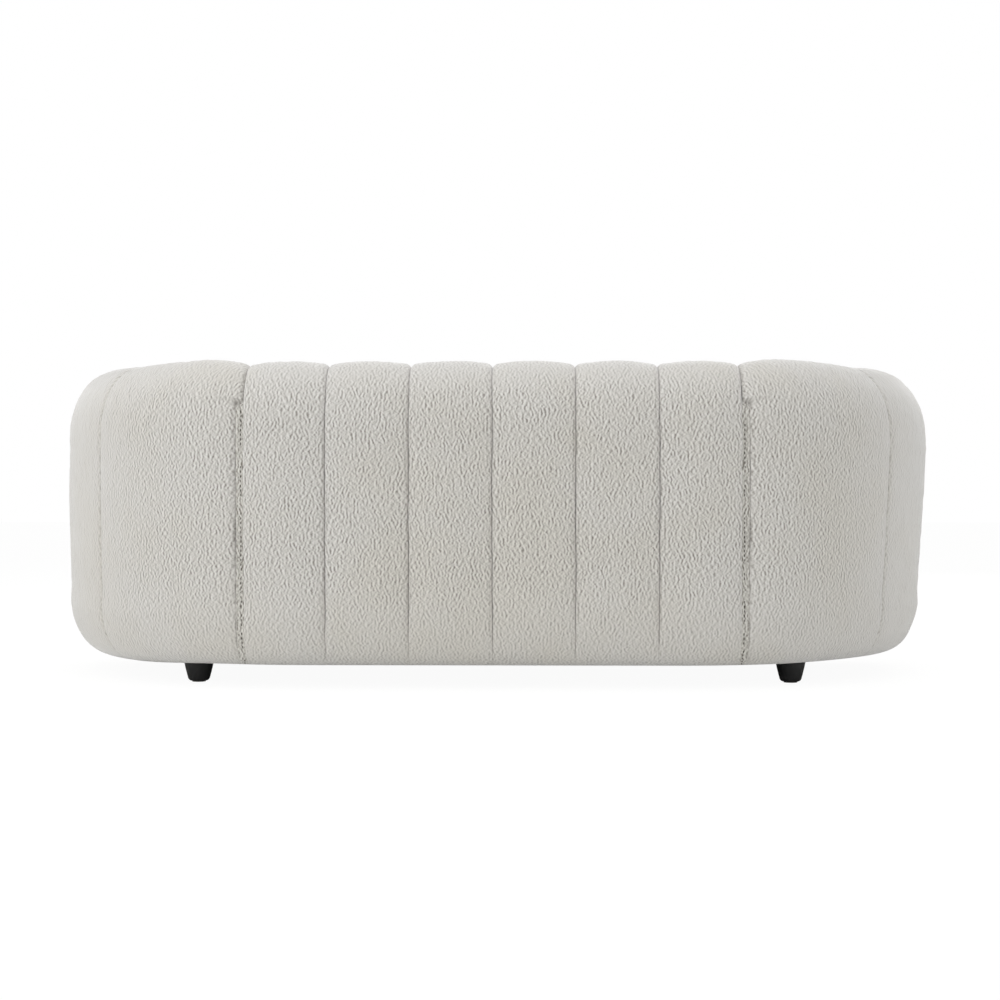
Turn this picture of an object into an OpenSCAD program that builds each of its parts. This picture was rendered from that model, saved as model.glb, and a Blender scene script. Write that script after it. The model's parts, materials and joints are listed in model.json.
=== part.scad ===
// Tuxedo sofa with one upholstered wall that runs round the back and both arms.
// Front is -Y, the back is +Y, and "left" and "right" are as seen from the front.
// All lengths are in millimetres. The origin is on the floor, under the middle.

/* [Overall] */
// Width over both arms
overall_w = 2200; // [2000:10:2500]
// Depth from the back face to the arm fronts
overall_d = 900; // [860:10:1000]
// Height of the fullest panels above the floor
overall_h = 758; // [720:2:820]
// Height of the underside above the floor
foot_h = 50; // [44:1:70]
// Length of each arm that runs straight, between the rear corner and the nose
arm_straight_l = 74; // [50:2:120]

/* [Wall] */
// Thickness of the wall just under its top rounding
wall_t = 220; // [210:2:240]
// How much thicker the wall is at seat level
recline = 20; // [0:1:30]
// How far the outer face draws in towards the base
batter = 8; // [0:1:14]
// Height of the rounding along the top
top_round = 148; // [120:2:160]
// Height of the rounding along the outer bottom edge
bottom_round = 120; // [90:2:125]
// How far the outer bottom rounding reaches under the wall
bottom_reach = 80; // [60:1:84]
// Flat strip along the ridge of the wall, to either side of its middle
ridge_h = 8; // [4:1:14]

/* [Panels] */
// Number of channels across the back
channel_n = 6; // [4:2:8]
// Width of one back channel at its seams
channel_w = 188.5; // [140:0.5:196]
// Length of the last panel of the wall, behind the nose of the arm
front_panel_w = 98; // [70:1:150]
// Fullness of a back channel over its seams
channel_crown = 8; // [4:0.5:14]
// Fullness of the wide panels over their seams
wide_crown = 16; // [8:0.5:22]
// Share of the wide panels' fullness that stays at the seam on each rear corner
corner_hold_share = 0.75; // [0:0.05:0.9]
// Depth of the crease at each seam
crease_depth = 6; // [2:0.5:9]
// Width of the crease to either side of its seam
crease_w = 10; // [6:0.5:16]
// Gap between two panels at their seam
seam_gap = 0.3; // [0.2:0.05:0.6]

/* [Padding] */
// Padding outside the wall frame
outer_pad = 40; // [30:1:48]
// Padding over the top of the wall frame
top_pad = 136; // [110:1:150]
// Padding on the seat side of the wall frame, at the top
inner_pad = 70; // [60:1:76]
// Padding under the base, where the covers wrap round it
wrap_t = 18; // [12:1:24]

/* [Closing flaps] */
// Width of the flap that closes each joint of the back
flap_w = 16; // [12:0.5:18]
// Width of the flap where it is sewn down in the crease
flap_root_w = 6; // [4:0.5:8]
// Height of the flap over the seam
flap_rise = 6.8; // [6.6:0.1:7.4]
// Thickness of the flap
flap_t = 2.2; // [1.5:0.1:2.4]

/* [Seat] */
// Height of the deck that the cushions lie on
deck_h = 290; // [270:2:320]
// Thickness of a cushion at its edges
cushion_t = 145; // [120:1:170]
// Fullness of a cushion over its edges
cushion_crown = 18; // [8:1:30]
// Gap between two of the three cushions
cushion_gap = 1; // [0.6:0.1:4]
// Clearance between the cushions and the wall
cushion_clear = 3; // [2:0.5:8]
// Radius of the small corners of a cushion
cushion_r = 45; // [30:1:60]
// Radius of the rounding along a cushion's edges
cushion_edge = 20; // [12:1:28]
// How far the sides of a cushion are drawn in between its corners
cushion_pull = 5; // [2:0.5:9]
// Thickness of the cushion's cover with its wadding
cover_t = 6; // [3:0.5:10]
// Length of the zip under a cushion, as a share of the cushion's width
zip_share = 0.42; // [0.3:0.02:0.5]
// Width of the zip
zip_w = 4; // [3:0.5:8]
// Distance of the zip from the back of its cushion
zip_back = 70; // [50:5:120]
// Distance of the cushion fronts behind the arm fronts
cushion_setback = 4; // [0:1:30]
// Thickness of the deck pad
deck_t = 19; // [12:1:24]

/* [Front border] */
// Distance of the border's face behind the arm fronts
border_setback = 18; // [12:1:40]
// Thickness of the border over the front rail
border_t = 26; // [18:1:34]
// Radius of the border's bottom edge
border_r = 34; // [20:1:40]
// Radius of the border's top edge
border_top_r = 16; // [8:1:18]
// Fullness of the border
border_crown = 8; // [2:0.5:12]
// How far the border wraps under the front rail
border_wrap = 16; // [10:1:20]

/* [Frame] */
// Height of the base rails
base_t = 40; // [30:1:45]
// Width of the base plates under the back and the arms
base_rear_w = 100; // [90:1:120]
// Width of the base rail along the front
base_front_w = 110; // [100:1:140]
// Width of the base rails along the sides
base_side_w = 60; // [40:1:80]
// Width of the two cross rails
cross_w = 50; // [40:1:70]
// Distance of each cross rail from the middle
cross_x = 270; // [200:5:340]
// Thickness of the wall frame's plates
plate_t = 25; // [18:1:30]
// Thickness of the outer liner boards
liner_t = 6; // [3:0.5:8]
// Thickness of the arms' inner boards
inner_board_t = 4; // [3:0.5:5]
// Thickness of the boards at the joints and the arm fronts
end_board_t = 18; // [15:1:25]
// Width of a post
post_w = 40; // [30:1:60]
// Number of posts in the back
back_post_n = 5; // [3:1:7]
// Distance of the outermost back posts from the joints
back_post_inset = 165; // [60:5:200]
// Number of webbing straps across the back
strap_n = 4; // [3:1:5]
// Height of a webbing strap
strap_h = 50; // [40:1:54]
// Thickness of a webbing strap
strap_t = 2; // [1.5:0.1:3]
// Thickness of the seat rails
seat_rail_t = 25; // [20:1:30]
// Depth of the seat rails' tops below the deck
seat_rail_drop = 28; // [26:1:40]
// Clearance at curved faces
fit_gap = 0.3; // [0.2:0.05:0.5]

/* [Springs] */
// Number of springs on each side of the middle
spring_pairs = 6; // [4:1:6]
// Distance between two springs
spring_step = 120; // [100:1:122]
// Thickness of the spring wire
wire_t = 4; // [3:0.1:4.5]
// Length of a spring's straight bars, between its bends
bar_l = 24; // [22:1:36]
// Distance between two bars of a spring
spring_pitch = 40; // [34:1:50]
// Length of a spring clip
clip_l = 18; // [14:1:20]
// Width of a spring clip
clip_w = 18; // [14:1:22]
// Thickness of the clip over the wire
clip_t = 2; // [1.5:0.1:3]
// Number of tie wires across the springs
tie_n = 3; // [2:1:4]
// Diameter of a tie wire
tie_d = 3; // [2:0.1:3.5]

/* [Feet] */
// Distance of the feet from the middle
foot_x = 700; // [600:5:780]
// Distance of the rear feet in from the seams of the back
foot_inset = 135; // [132:1:150]
// Distance of the front feet behind the arm fronts
foot_front = 100; // [99:1:120]
// Diameter of a foot at its top
foot_top_d = 75; // [64:1:76]
// Diameter of a foot where it stands
foot_bottom_d = 52; // [44:1:60]
// Fullness of a foot's side between its top and its bottom
foot_belly = 1.5; // [0:0.25:3]
// Radius of the rounding at a foot's lower edge
foot_edge = 9; // [4:0.5:11]
// Diameter of the glide
glide_d = 32; // [24:1:34]
// Thickness of the glide
glide_t = 2; // [1:0.5:4]
// Diameter of the hanger bolts
hanger_d = 8; // [6:1:10]
// Depth of the hanger bolt in its foot
hanger_depth = 32; // [20:1:34]
// Outer diameter of a T-nut's barrel
tnut_d = 11; // [10.8:0.1:13]
// Length of a T-nut's barrel
tnut_l = 20; // [14:1:26]
// Diameter of a T-nut's flange
tnut_flange_d = 22; // [18:1:26]
// Thickness of a T-nut's flange
tnut_flange_t = 1.6; // [1.2:0.1:2]
// Thickness of the dust cover
dust_t = 1.2; // [0.8:0.1:2]

/* [Joint bolts] */
// Diameter of the bolts between back and arms
bolt_d = 8; // [6:1:10]
// Number of bolts at each joint
bolt_n = 3; // [2:1:4]
// Diameter of a bolt's head
bolt_head_d = 16; // [14:0.5:20]
// Height of a bolt's head
bolt_head_h = 5; // [4:0.5:8]
// Height of a nut
nut_h = 7; // [5:0.5:9]
// Width of a nut across its corners
nut_d = 15; // [12:0.5:18]
// Length of the bolt beyond its nut
bolt_end = 4; // [1:0.5:8]

/* [Hidden] */
$fn = 48;

// Overrun of every cut
over = 1;
cloth = "#cfcabf";
foam = "#e8dcb8";
ply = "#c9a877";
beech = "#b98d5c";
board = "#9c8465";
zinc = "#b4b6b8";
black = "#1c1c1d";

// Seam lines of the wall, inside the fullness of its panels
wide_full = crease_depth + wide_crown;
channel_full = crease_depth + channel_crown;
seam_x = overall_w / 2 - wide_full;
seam_y = overall_d / 2 - channel_full;
top_z = overall_h - wide_full;
half_t = wall_t / 2;
nose_t = half_t + recline / 2;
nose_y = -overall_d / 2 + wide_full + nose_t;
nose_start = nose_y + crease_w * 2;
side_y = nose_start + arm_straight_l;
corner_r = seam_y - side_y;

// Length of the seam line from the middle of the back to its landmarks
straight_len = seam_x - corner_r;
corner_len = corner_r * PI / 2;
joint_s = channel_n * channel_w / 2;
front_s = straight_len + corner_len + arm_straight_l;
wide_w = (front_s - front_panel_w - joint_s) / 2;
corner_s = joint_s + wide_w;
side_s = corner_s + wide_w;

// Heights of the frame
base_z = foot_h + wrap_t;
base_top = base_z + base_t;
cavity_top = top_z - top_pad;
plate_z = base_top + fit_gap;
top_plate_z = cavity_top - fit_gap - plate_t;
board_h = cavity_top - fit_gap - plate_z;
seat_rail_top = deck_h - seat_rail_drop;
deck_top = deck_h - fit_gap;
glide_top = glide_t;
foot_top = base_z - dust_t;

// Depths of the wall frame, inward from the seam line
liner_a = outer_pad + fit_gap;
frame_a = liner_a + liner_t + fit_gap;
cavity_b = wall_t - inner_pad;
board_a = cavity_b - fit_gap - inner_board_t;
frame_b = board_a - fit_gap;
wrap_a = batter + bottom_reach;
base_a = wrap_a + crease_w / 2;
post_a = frame_a + liner_t;
post_b = frame_b - liner_t;

// Seat well and seat frame. The rear rail ends at a share of the rear corner.
rail_share = 0.555;
well_a = wall_t + recline + wide_full;
inner_x = seam_x - well_a - fit_gap;
seat_x = seam_x - well_a - cushion_clear;
seat_back_y = seam_y - well_a - cushion_clear;
seat_front_y = -overall_d / 2 + cushion_setback;
border_y = -overall_d / 2 + border_setback;
rail_y = border_y + border_t + fit_gap;
rail_a = cavity_b + crease_w / 2;
rail_end_s = straight_len + corner_len * rail_share;
rail_r = corner_r - rail_a;

// Stations along a channel or a panel, as shares of its width
channel_shares = [0.22, 0.5, 0.78];
wide_shares = [0.1, 0.22, 0.36, 0.5, 0.64, 0.78, 0.9];
front_shares = [0.45];

function stations(s0, s1, shares) = concat(
    [s0, s0 + crease_w],
    [for (k = shares) s0 + k * (s1 - s0)],
    [s1 - crease_w, s1]
);

channel_runs = [
    for (i = [0 : channel_n - 1])
        stations(-joint_s + i * channel_w, -joint_s + (i + 1) * channel_w, channel_shares)
];
corner_run = stations(joint_s, corner_s, wide_shares);
side_run = stations(corner_s, side_s, wide_shares);
front_run = concat(
    [side_s, side_s + crease_w],
    [for (k = front_shares) side_s + k * (front_s - side_s)],
    [front_s]
);
back_run = [for (run = channel_runs) for (s = run) s];
arm_run = concat(corner_run, side_run, front_run);

function within(run, lo, hi) = concat(
    [lo],
    [for (s = run) if (s > lo + crease_w / 4 && s < hi - crease_w / 4) s],
    [hi]
);
function reversed(list) = [for (i = [len(list) - 1 : -1 : 0]) list[i]];

// Turn of the seam line at a station, in degrees from the middle of the back
function turn(s) =
    let (u = abs(s) - straight_len)
    (s < 0 ? -1 : 1) * (u <= 0 ? 0 : min(u / corner_len, 1) * 90);

// Point of the seam line at a station, moved inward by a
function seam_point(s, a) =
    let (u = abs(s), side = s < 0 ? -1 : 1, t = abs(turn(s)))
    let (beyond = max(u - straight_len - corner_len, 0))
    let (x = min(u, straight_len) + (corner_r - a) * sin(t))
    let (y = seam_y - corner_r + (corner_r - a) * cos(t) - beyond)
    [side * x, y];

// Plan outline of a piece that follows the wall between two depths
function ribbon(run, a, b) = concat(
    [for (s = run) seam_point(s, a)],
    [for (s = reversed(run)) seam_point(s, b)]
);

// Plan outline of the space inside the wall at depth a, with its front edge at y
function well(a, x, y) =
    let (right = within(arm_run, joint_s, front_s - fit_gap))
    let (arc = concat(
        [for (s = reversed(right)) seam_point(-s, a)],
        [for (s = back_run) seam_point(s, a)],
        [for (s = right) seam_point(s, a)]
    ))
    concat(arc, [[x, nose_start + fit_gap], [x, y], [-x, y], [-x, nose_start + fit_gap]]);

module wall_plate(run, a, b, z, h) {
    translate([0, 0, z])
        linear_extrude(h)
            polygon(ribbon(run, a, b));
}

module mirrored() {
    children();
    mirror([1, 0, 0])
        children();
}

// Places its children with X along the seam line, Y outward and the origin on the seam line
module at_wall(s) {
    p = seam_point(s, 0);
    translate([p[0], p[1], 0])
        rotate([0, 0, -turn(s)])
            children();
}

// How square the swell of a wide panel is, and the quarter curves of the wall
wide_power = 2.6;
round_power = 0.91;

// Fullness over the seam line at distance d from the nearer seam of a panel
function creased(d) = crease_depth * min(d / crease_w, 1);
function channel_bulge(d) =
    let (u = 1 - min(2 * d / channel_w, 1))
    creased(d) + channel_crown * (1 - pow(u, 2));
function wide_bulge(d, kept) =
    let (u = 1 - min(2 * d / wide_w, 1))
    creased(d) + wide_crown * (1 - (1 - kept) * pow(u, wide_power));

// Half profiles of the wall, from the underside up to the ridge. Each point is
// [distance from the middle of the wall, height], on rounded quarter curves.
bottom_turns = [90, 67.5, 45, 22.5, 0];
top_turns = [0, 13, 26, 38, 50, 63, 76, 90];
function half_profile(face_top, face_seat, face_low, top_start) = concat(
    [for (t = bottom_turns)
        [face_low - bottom_reach + bottom_reach * pow(cos(t), round_power),
         foot_h + bottom_round - bottom_round * pow(sin(t), round_power)]],
    [[(face_low + face_seat) / 2, deck_h],
     [(face_seat + face_top) / 2, (deck_h + top_start) / 2]],
    [for (t = top_turns)
        [ridge_h + (face_top - ridge_h) * pow(cos(t), round_power),
         top_start + (top_z - top_start) * pow(sin(t), round_power)]]
);
outer_half = half_profile(half_t, half_t, half_t - batter, top_z - top_round);
inner_half = half_profile(half_t, half_t + recline, half_t + recline, top_z - top_round + recline);
face_k = len(bottom_turns);
last_k = len(outer_half) - 1;

// Direction in which a profile point moves as its panel fills out, and how far it may
function normal(p, k) =
    let (low = max(k - 1, 0), high = min(k + 1, last_k))
    let (t = p[high] - p[low])
    k == last_k ? [0, 1] :
    k >= face_k - 1 && k <= face_k + 2 ? [1, 0] :
    [t[1], -t[0]] / norm(t);
function give(p, k) = min((p[k][1] - foot_h) / bottom_round, 1);
function filled(p, k, b) = p[k] + normal(p, k) * give(p, k) * b;

// Section of a wall panel over its frame as [depth, height], filled out by b
function section(b) = concat(
    [for (k = [0 : last_k]) let (q = filled(outer_half, k, b)) [half_t - q[0], q[1]]],
    [for (k = [last_k : -1 : face_k]) let (q = filled(inner_half, k, b)) [half_t + q[0], q[1]]],
    [[cavity_b, deck_h], [cavity_b, cavity_top], [outer_pad, cavity_top],
     [outer_pad, base_top], [wrap_a, base_z]]
);

// Closed skin over rings of points, all with the same count. Its flat ends are made of the faces in fill.
module skin(rings, fill) {
    n = len(rings[0]);
    m = len(rings);
    points = [for (ring = rings) for (p = ring) p];
    sides = [
        for (i = [0 : m - 2]) for (k = [0 : n - 1])
            let (a = i * n + k, b = i * n + (k + 1) % n)
            each [[a, b, a + n], [b, b + n, a + n]]
    ];
    first = [for (face = fill) reversed(face)];
    last = [for (face = fill) [for (k = face) (m - 1) * n + k]];
    polyhedron(points, concat(sides, first, last), convexity = 10);
}

// Faces that fill the end of a wall section, each from a corner of its hollow out to the profile
function fan(hub, from, to) = [for (k = [from : to - 1]) [hub, k, k + 1]];
inner_k = 2 * last_k + 1 - face_k;
top_hub = inner_k + 2;
wall_fill = concat(
    [[top_hub + 2, top_hub + 3, 0]],
    fan(top_hub + 2, 0, face_k),
    [[top_hub + 2, face_k, top_hub + 1]],
    fan(top_hub + 1, face_k, last_k),
    [[top_hub + 1, last_k, top_hub]],
    fan(top_hub, last_k, inner_k + 1)
);

// Upholstered panel that straddles the wall between its first and last station
module wall_panel(run, widths, kind) {
    s0 = run[0];
    s1 = run[len(run) - 1];
    rings = [
        for (i = [0 : len(run) - 1])
            let (s = i == 0 ? s0 + seam_gap / 2 : i == len(run) - 1 ? s1 - seam_gap / 2 : run[i])
            let (d = min(abs(s - widths[0]), abs(widths[1] - s)))
            let (kept = abs(s - corner_s) < wide_w / 2 ? corner_hold_share : 0)
            let (b = kind == "channel" ? channel_bulge(d) : wide_bulge(d, kept))
            [for (q = section(b)) let (p = seam_point(s, q[0])) [p[0], p[1], q[1]]]
    ];
    skin(reversed(rings), wall_fill);
}

module back_channel(i) {
    run = channel_runs[i];
    color(cloth)
        wall_panel(run, [run[0], run[len(run) - 1]], "channel");
}

module corner_panel() {
    color(cloth)
        wall_panel(corner_run, [joint_s, corner_s], "wide");
}

module side_panel() {
    color(cloth)
        wall_panel(side_run, [corner_s, side_s], "wide");
}

module arm_front_panel() {
    color(cloth)
        wall_panel(front_run, [side_s, side_s + wide_w], "wide");
}

// Rounded front end of an arm. Its columns run from the outer face round to the inner one.
nose_turns = [0, 15, 30, 45, 60, 75, 90, 105, 120, 135, 150, 165, 180];

module arm_nose() {
    lead = nose_start - nose_y;
    reach = front_s - side_s;
    columns = concat(
        [[0, lead, reach]],
        [for (t = nose_turns)
            let (swept = nose_t * min(t, 180 - t) / 180 * PI)
            [t, 0, reach + lead + swept]],
        [[180, lead, reach]]
    );
    n = last_k + 1;
    m = len(columns);
    mid = (m - 1) / 2;
    middle_x = seam_x - half_t;
    points = [
        for (c = columns) for (k = [0 : last_k])
            let (blend = (1 - cos(c[0])) / 2)
            let (b = wide_bulge(c[2], 0))
            let (q = filled(outer_half, k, b) * (1 - blend) + filled(inner_half, k, b) * blend)
            [middle_x + q[0] * cos(c[0]), nose_y + c[1] - q[0] * sin(c[0]), q[1]]
    ];
    walls = [
        for (i = [0 : m - 2]) for (k = [0 : last_k - 1])
            let (a = i * n + k)
            each [[a, a + n, a + n + 1], [a, a + n + 1, a + 1]]
    ];
    caps = [
        for (i = [0 : mid - 1]) for (k = [0, last_k])
            let (a = i * n + k, b = (i + 1) * n + k)
            let (c = (m - 2 - i) * n + k, d = (m - 1 - i) * n + k)
            each k == 0
                ? (i == mid - 1 ? [[a, d, b]] : [[a, d, c], [a, c, b]])
                : (i == mid - 1 ? [[a, b, d]] : [[a, b, c], [a, c, d]])
    ];
    back = [
        for (k = [0 : last_k - 1])
            let (a = k, b = (m - 1) * n + k)
            each [[a, a + 1, b + 1], [a, b + 1, b]]
    ];
    color(cloth)
        polyhedron(points, concat(walls, caps, back), convexity = 6);
}

// Flap over the joint between the back and an arm, sewn down in the crease
module closing_flap() {
    ends = [2, face_k + 6];
    reaches = [-flap_w, flap_w, flap_root_w, -flap_root_w] / 2;
    rises = [flap_rise, flap_rise, flap_rise - flap_t, flap_rise - flap_t];
    rings = [
        for (k = [ends[0] : ends[1]])
            [for (c = [0 : 3])
                let (q = filled(outer_half, k, rises[c]))
                let (p = seam_point(joint_s + reaches[c], half_t - q[0]))
                [p[0], p[1], q[1]]]
    ];
    color("#aaa69b")
        skin(rings, fan(0, 1, len(rises) - 1));
}

// Outline of the front border as [y, z], from under the rail up to its top edge
module front_border() {
    back_y = border_y + border_t;
    wrap_y = back_y + border_wrap;
    centre = [border_y + border_r, foot_h + border_r];
    crown_centre = [border_y + border_top_r, deck_top - border_top_r];
    outline = concat(
        [[back_y, base_z - fit_gap, 0], [wrap_y, base_z - fit_gap, 0], [wrap_y, foot_h, 0]],
        [for (t = [90, 60, 30, 0])
            [centre[0] - border_r * cos(t), centre[1] - border_r * sin(t), cos(t)]],
        [[border_y, (foot_h + deck_h) / 2, 1]],
        [for (t = [0, 30, 60, 90])
            [crown_centre[0] - border_top_r * cos(t), crown_centre[1] + border_top_r * sin(t), cos(t)]],
        [[back_y, deck_top, 0]]
    );
    end_shares = [0, 0.008, 0.03, 0.1, 0.5, 0.9, 0.97, 0.992, 1];
    swell_shares = [0, 0.6, 0.85, 1, 1, 1, 0.85, 0.6, 0];
    rings = [
        for (i = [0 : len(end_shares) - 1])
            [for (q = outline)
                [(end_shares[i] * 2 - 1) * inner_x, q[0] - q[2] * swell_shares[i] * border_crown, q[1]]]
    ];
    color(cloth)
        skin(rings, fan(0, 1, len(outline) - 1));
}

module deck_pad() {
    color("#8f8a80")
        translate([0, 0, deck_top - deck_t])
            linear_extrude(deck_t)
                polygon(well(rail_a, inner_x, rail_y));
}

// Plan outline of a cushion, inset evenly, with its sides drawn in by pull
cushion_w = (2 * seat_x - 2 * cushion_gap) / 3;
function quarter(cx, cy, r, from, n) =
    [for (i = [0 : n]) [cx + r * cos(from + 90 * i / n), cy + r * sin(from + 90 * i / n)]];
function side_points(p, q, pull) =
    let (d = (q - p) / norm(q - p))
    [for (t = [0.25, 0.5, 0.75]) p + (q - p) * t + [-d[1], d[0]] * pull * 4 * t * (1 - t)];
function cushion_outline(x0, x1, r_back, inset, pull) =
    let (r = max(cushion_r - inset, cushion_r / 8), big = max(r_back - inset, cushion_r / 8))
    let (n_big = r_back > cushion_r ? 8 : 4)
    let (lx = x0 + inset, rx = x1 - inset, fy = seat_front_y + inset, by = seat_back_y - inset)
    let (front_right = quarter(rx - r, fy + r, r, -90, 4))
    let (back_right = quarter(rx - big, by - big, big, 0, n_big))
    let (back_left = quarter(lx + r, by - r, r, 90, 4))
    let (front_left = quarter(lx + r, fy + r, r, 180, 4))
    concat(
        front_right,
        side_points(front_right[4], back_right[0], pull),
        back_right,
        side_points(back_right[n_big], back_left[0], pull),
        back_left,
        side_points(back_left[4], front_left[0], pull),
        front_left,
        side_points(front_left[4], front_right[0], pull)
    );

// Rings of a cushion: shares of its edge radius inward, of its thickness up, and of its pull
edge_inset_shares = [0.9, 0.4, 0.2, 0, 0.2, 0.4, 1];
edge_height_shares = [0, 0.03, 0.1, 0.5, 0.9, 0.97, 1.02];
edge_pull_shares = [0, 1, 1, 0, 1, 1, 0.6];
crown_inset_shares = [0.25, 0.55];
crown_rise_shares = [0.6, 0.92];

module cushion_shape(x0, x1, r_back) {
    half = (x1 - x0) / 2;
    edge = [
        for (i = [0 : len(edge_inset_shares) - 1])
            let (z = deck_h + cushion_t * edge_height_shares[i])
            [for (p = cushion_outline(x0, x1, r_back,
                    cushion_edge * edge_inset_shares[i], cushion_pull * edge_pull_shares[i]))
                [p[0], p[1], z]]
    ];
    crown = [
        for (i = [0 : len(crown_inset_shares) - 1])
            let (z = deck_h + cushion_t + cushion_crown * crown_rise_shares[i])
            [for (p = cushion_outline(x0, x1, r_back, half * crown_inset_shares[i], 0))
                [p[0], p[1], z]]
    ];
    rings = concat(edge, crown);
    n = len(rings[0]);
    m = len(rings);
    points = concat(
        [for (ring = rings) for (p = ring) p],
        [for (z = [deck_h + cushion_t + cushion_crown, deck_h])
            [(x0 + x1) / 2, (seat_front_y + seat_back_y) / 2, z]]
    );
    sides = [
        for (i = [0 : m - 2]) for (k = [0 : n - 1])
            let (a = i * n + k, b = i * n + (k + 1) % n)
            each [[a, b + n, b], [a, a + n, b + n]]
    ];
    top = [for (k = [0 : n - 1]) [(m - 1) * n + k, m * n, (m - 1) * n + (k + 1) % n]];
    bottom = [for (k = [0 : n - 1]) [k, (k + 1) % n, m * n + 1]];
    polyhedron(points, concat(sides, top, bottom), convexity = 4);
}

module core_shape(x0, x1, r_back, extra) {
    translate([0, 0, deck_h + cover_t - extra])
        linear_extrude(cushion_t - 2 * cover_t + 2 * extra)
            polygon(cushion_outline(x0, x1, r_back, cushion_edge + cover_t - extra, 0));
}

// Zip on the underside, the way into the cover
module zip_shape(x, extra, h) {
    translate([x - extra, seat_back_y - zip_back - zip_w / 2 - extra, deck_h + fit_gap - extra])
        cube([cushion_w * zip_share + 2 * extra, zip_w + 2 * extra, h + 2 * extra]);
}

// The centre cushion is 0 and the right-hand one is 1, with its round outer corner
module cushion(i, part) {
    x0 = i == 0 ? -cushion_w / 2 : cushion_w / 2 + cushion_gap;
    x1 = x0 + cushion_w;
    r_back = i == 0 ? cushion_r : corner_r - well_a - cushion_clear;
    zip_x = i == 0 ? -cushion_w * zip_share / 2 : x0 + cushion_r;
    if (part == "cover")
        color(cloth)
            difference() {
                cushion_shape(x0, x1, r_back);
                core_shape(x0, x1, r_back, fit_gap);
                translate([0, 0, -over])
                    zip_shape(zip_x, fit_gap, cover_t + over);
            }
    if (part == "zip")
        color("#8d8779")
            zip_shape(zip_x, 0, cover_t - 3 * fit_gap);
    if (part == "core")
        color(foam)
            core_shape(x0, x1, r_back, 0);
}

// Frame of the back
back_end_s = joint_s - fit_gap;
back_inside = within(back_run, -back_end_s, back_end_s);

module back_top_rail() {
    color(beech)
        wall_plate(back_inside, frame_a, frame_b, top_plate_z, plate_t);
}

module back_bottom_rail() {
    color(beech)
        wall_plate(back_inside, frame_a, frame_b, plate_z, plate_t);
}

module back_posts() {
    end_s = joint_s - back_post_inset;
    step = 2 * end_s / (back_post_n - 1);
    color(beech)
        for (i = [0 : back_post_n - 1])
            at_wall(-end_s + i * step)
                translate([-post_w / 2, -frame_b, plate_z + plate_t])
                    cube([post_w, frame_b - post_a, top_plate_z - plate_z - plate_t]);
}

module back_liner() {
    color(board)
        wall_plate(back_inside, liner_a, liner_a + liner_t, plate_z, board_h);
}

module back_straps() {
    low = deck_h + crease_w;
    step = (top_plate_z - strap_h - crease_w - low) / (strap_n - 1);
    run = within(back_run, -back_end_s + end_board_t, back_end_s - end_board_t);
    color("#6d675c")
        for (i = [0 : strap_n - 1])
            wall_plate(run, board_a, board_a + strap_t, low + i * step, strap_h);
}

// Board across the wall frame, its face at distance x from station s along the seam line
module cross_board(s, x) {
    at_wall(s)
        translate([x, -post_b, plate_z + plate_t])
            cube([end_board_t, post_b - post_a, top_plate_z - plate_z - plate_t]);
}

// Heights and depth of the bolts through the joint
bolt_a = (post_a + post_b) / 2;
bolt_step = (top_plate_z - plate_z - plate_t) / (bolt_n + 1);

module at_bolts(x) {
    for (i = [1 : bolt_n])
        at_wall(joint_s)
            translate([x, -bolt_a, plate_z + plate_t + i * bolt_step])
                rotate([0, 90, 0])
                    children();
}

module bolt_holes() {
    at_bolts(-end_board_t - over - fit_gap)
        cylinder(h = 2 * (end_board_t + over + fit_gap), d = bolt_d + 2 * fit_gap);
}

module back_end_boards() {
    color(beech)
        mirrored()
            difference() {
                cross_board(joint_s, -end_board_t - fit_gap);
                bolt_holes();
            }
}

module arm_rear_boards() {
    color(beech)
        mirrored()
            difference() {
                cross_board(joint_s, fit_gap);
                bolt_holes();
            }
}

module arm_front_boards() {
    color(beech)
        mirrored()
            cross_board(front_s, -end_board_t - fit_gap);
}

module joint_bolts() {
    grip = end_board_t + fit_gap;
    color(zinc)
        mirrored()
            at_bolts(-grip - nut_h - bolt_end)
                union() {
                    cylinder(h = 2 * grip + nut_h + bolt_end, d = bolt_d);
                    translate([0, 0, 2 * grip + nut_h + bolt_end])
                        cylinder(h = bolt_head_h, d = bolt_head_d);
                }
}

module joint_nuts() {
    color(zinc)
        mirrored()
            at_bolts(-end_board_t - fit_gap - nut_h)
                difference() {
                    cylinder(h = nut_h, d = nut_d, $fn = 6);
                    translate([0, 0, -over])
                        cylinder(h = nut_h + 2 * over, d = bolt_d + fit_gap);
                }
}

// Frame of an arm
arm_inside = within(arm_run, joint_s + fit_gap, front_s - fit_gap);

module arm_top_plates() {
    color(ply)
        mirrored()
            wall_plate(arm_inside, frame_a, frame_b, top_plate_z, plate_t);
}

module arm_bottom_plates() {
    color(ply)
        mirrored()
            wall_plate(arm_inside, frame_a, frame_b, plate_z, plate_t);
}

module arm_liners() {
    color(board)
        mirrored()
            wall_plate(arm_inside, liner_a, liner_a + liner_t, plate_z, board_h);
}

module arm_inner_boards() {
    color(board)
        mirrored()
            wall_plate(arm_inside, board_a, board_a + inner_board_t, plate_z, board_h);
}

module arm_posts() {
    color(beech)
        mirrored()
            for (s = [(joint_s + corner_s) / 2, corner_s, (corner_s + side_s) / 2, side_s])
                at_wall(s)
                    translate([-post_w / 2, -post_b, plate_z + plate_t])
                        cube([post_w, post_b - post_a, top_plate_z - plate_z - plate_t]);
}

// Holes for the hanger bolts and T-nuts of the feet
rear_foot_y = seam_y - corner_r
    + sqrt(pow(corner_r - foot_inset, 2) - pow(max(foot_x - straight_len, 0), 2));
front_foot_y = -overall_d / 2 + foot_front;

module at_feet() {
    for (y = [rear_foot_y, front_foot_y])
        for (x = [-foot_x, foot_x])
            translate([x, y, 0])
                children();
}

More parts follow.
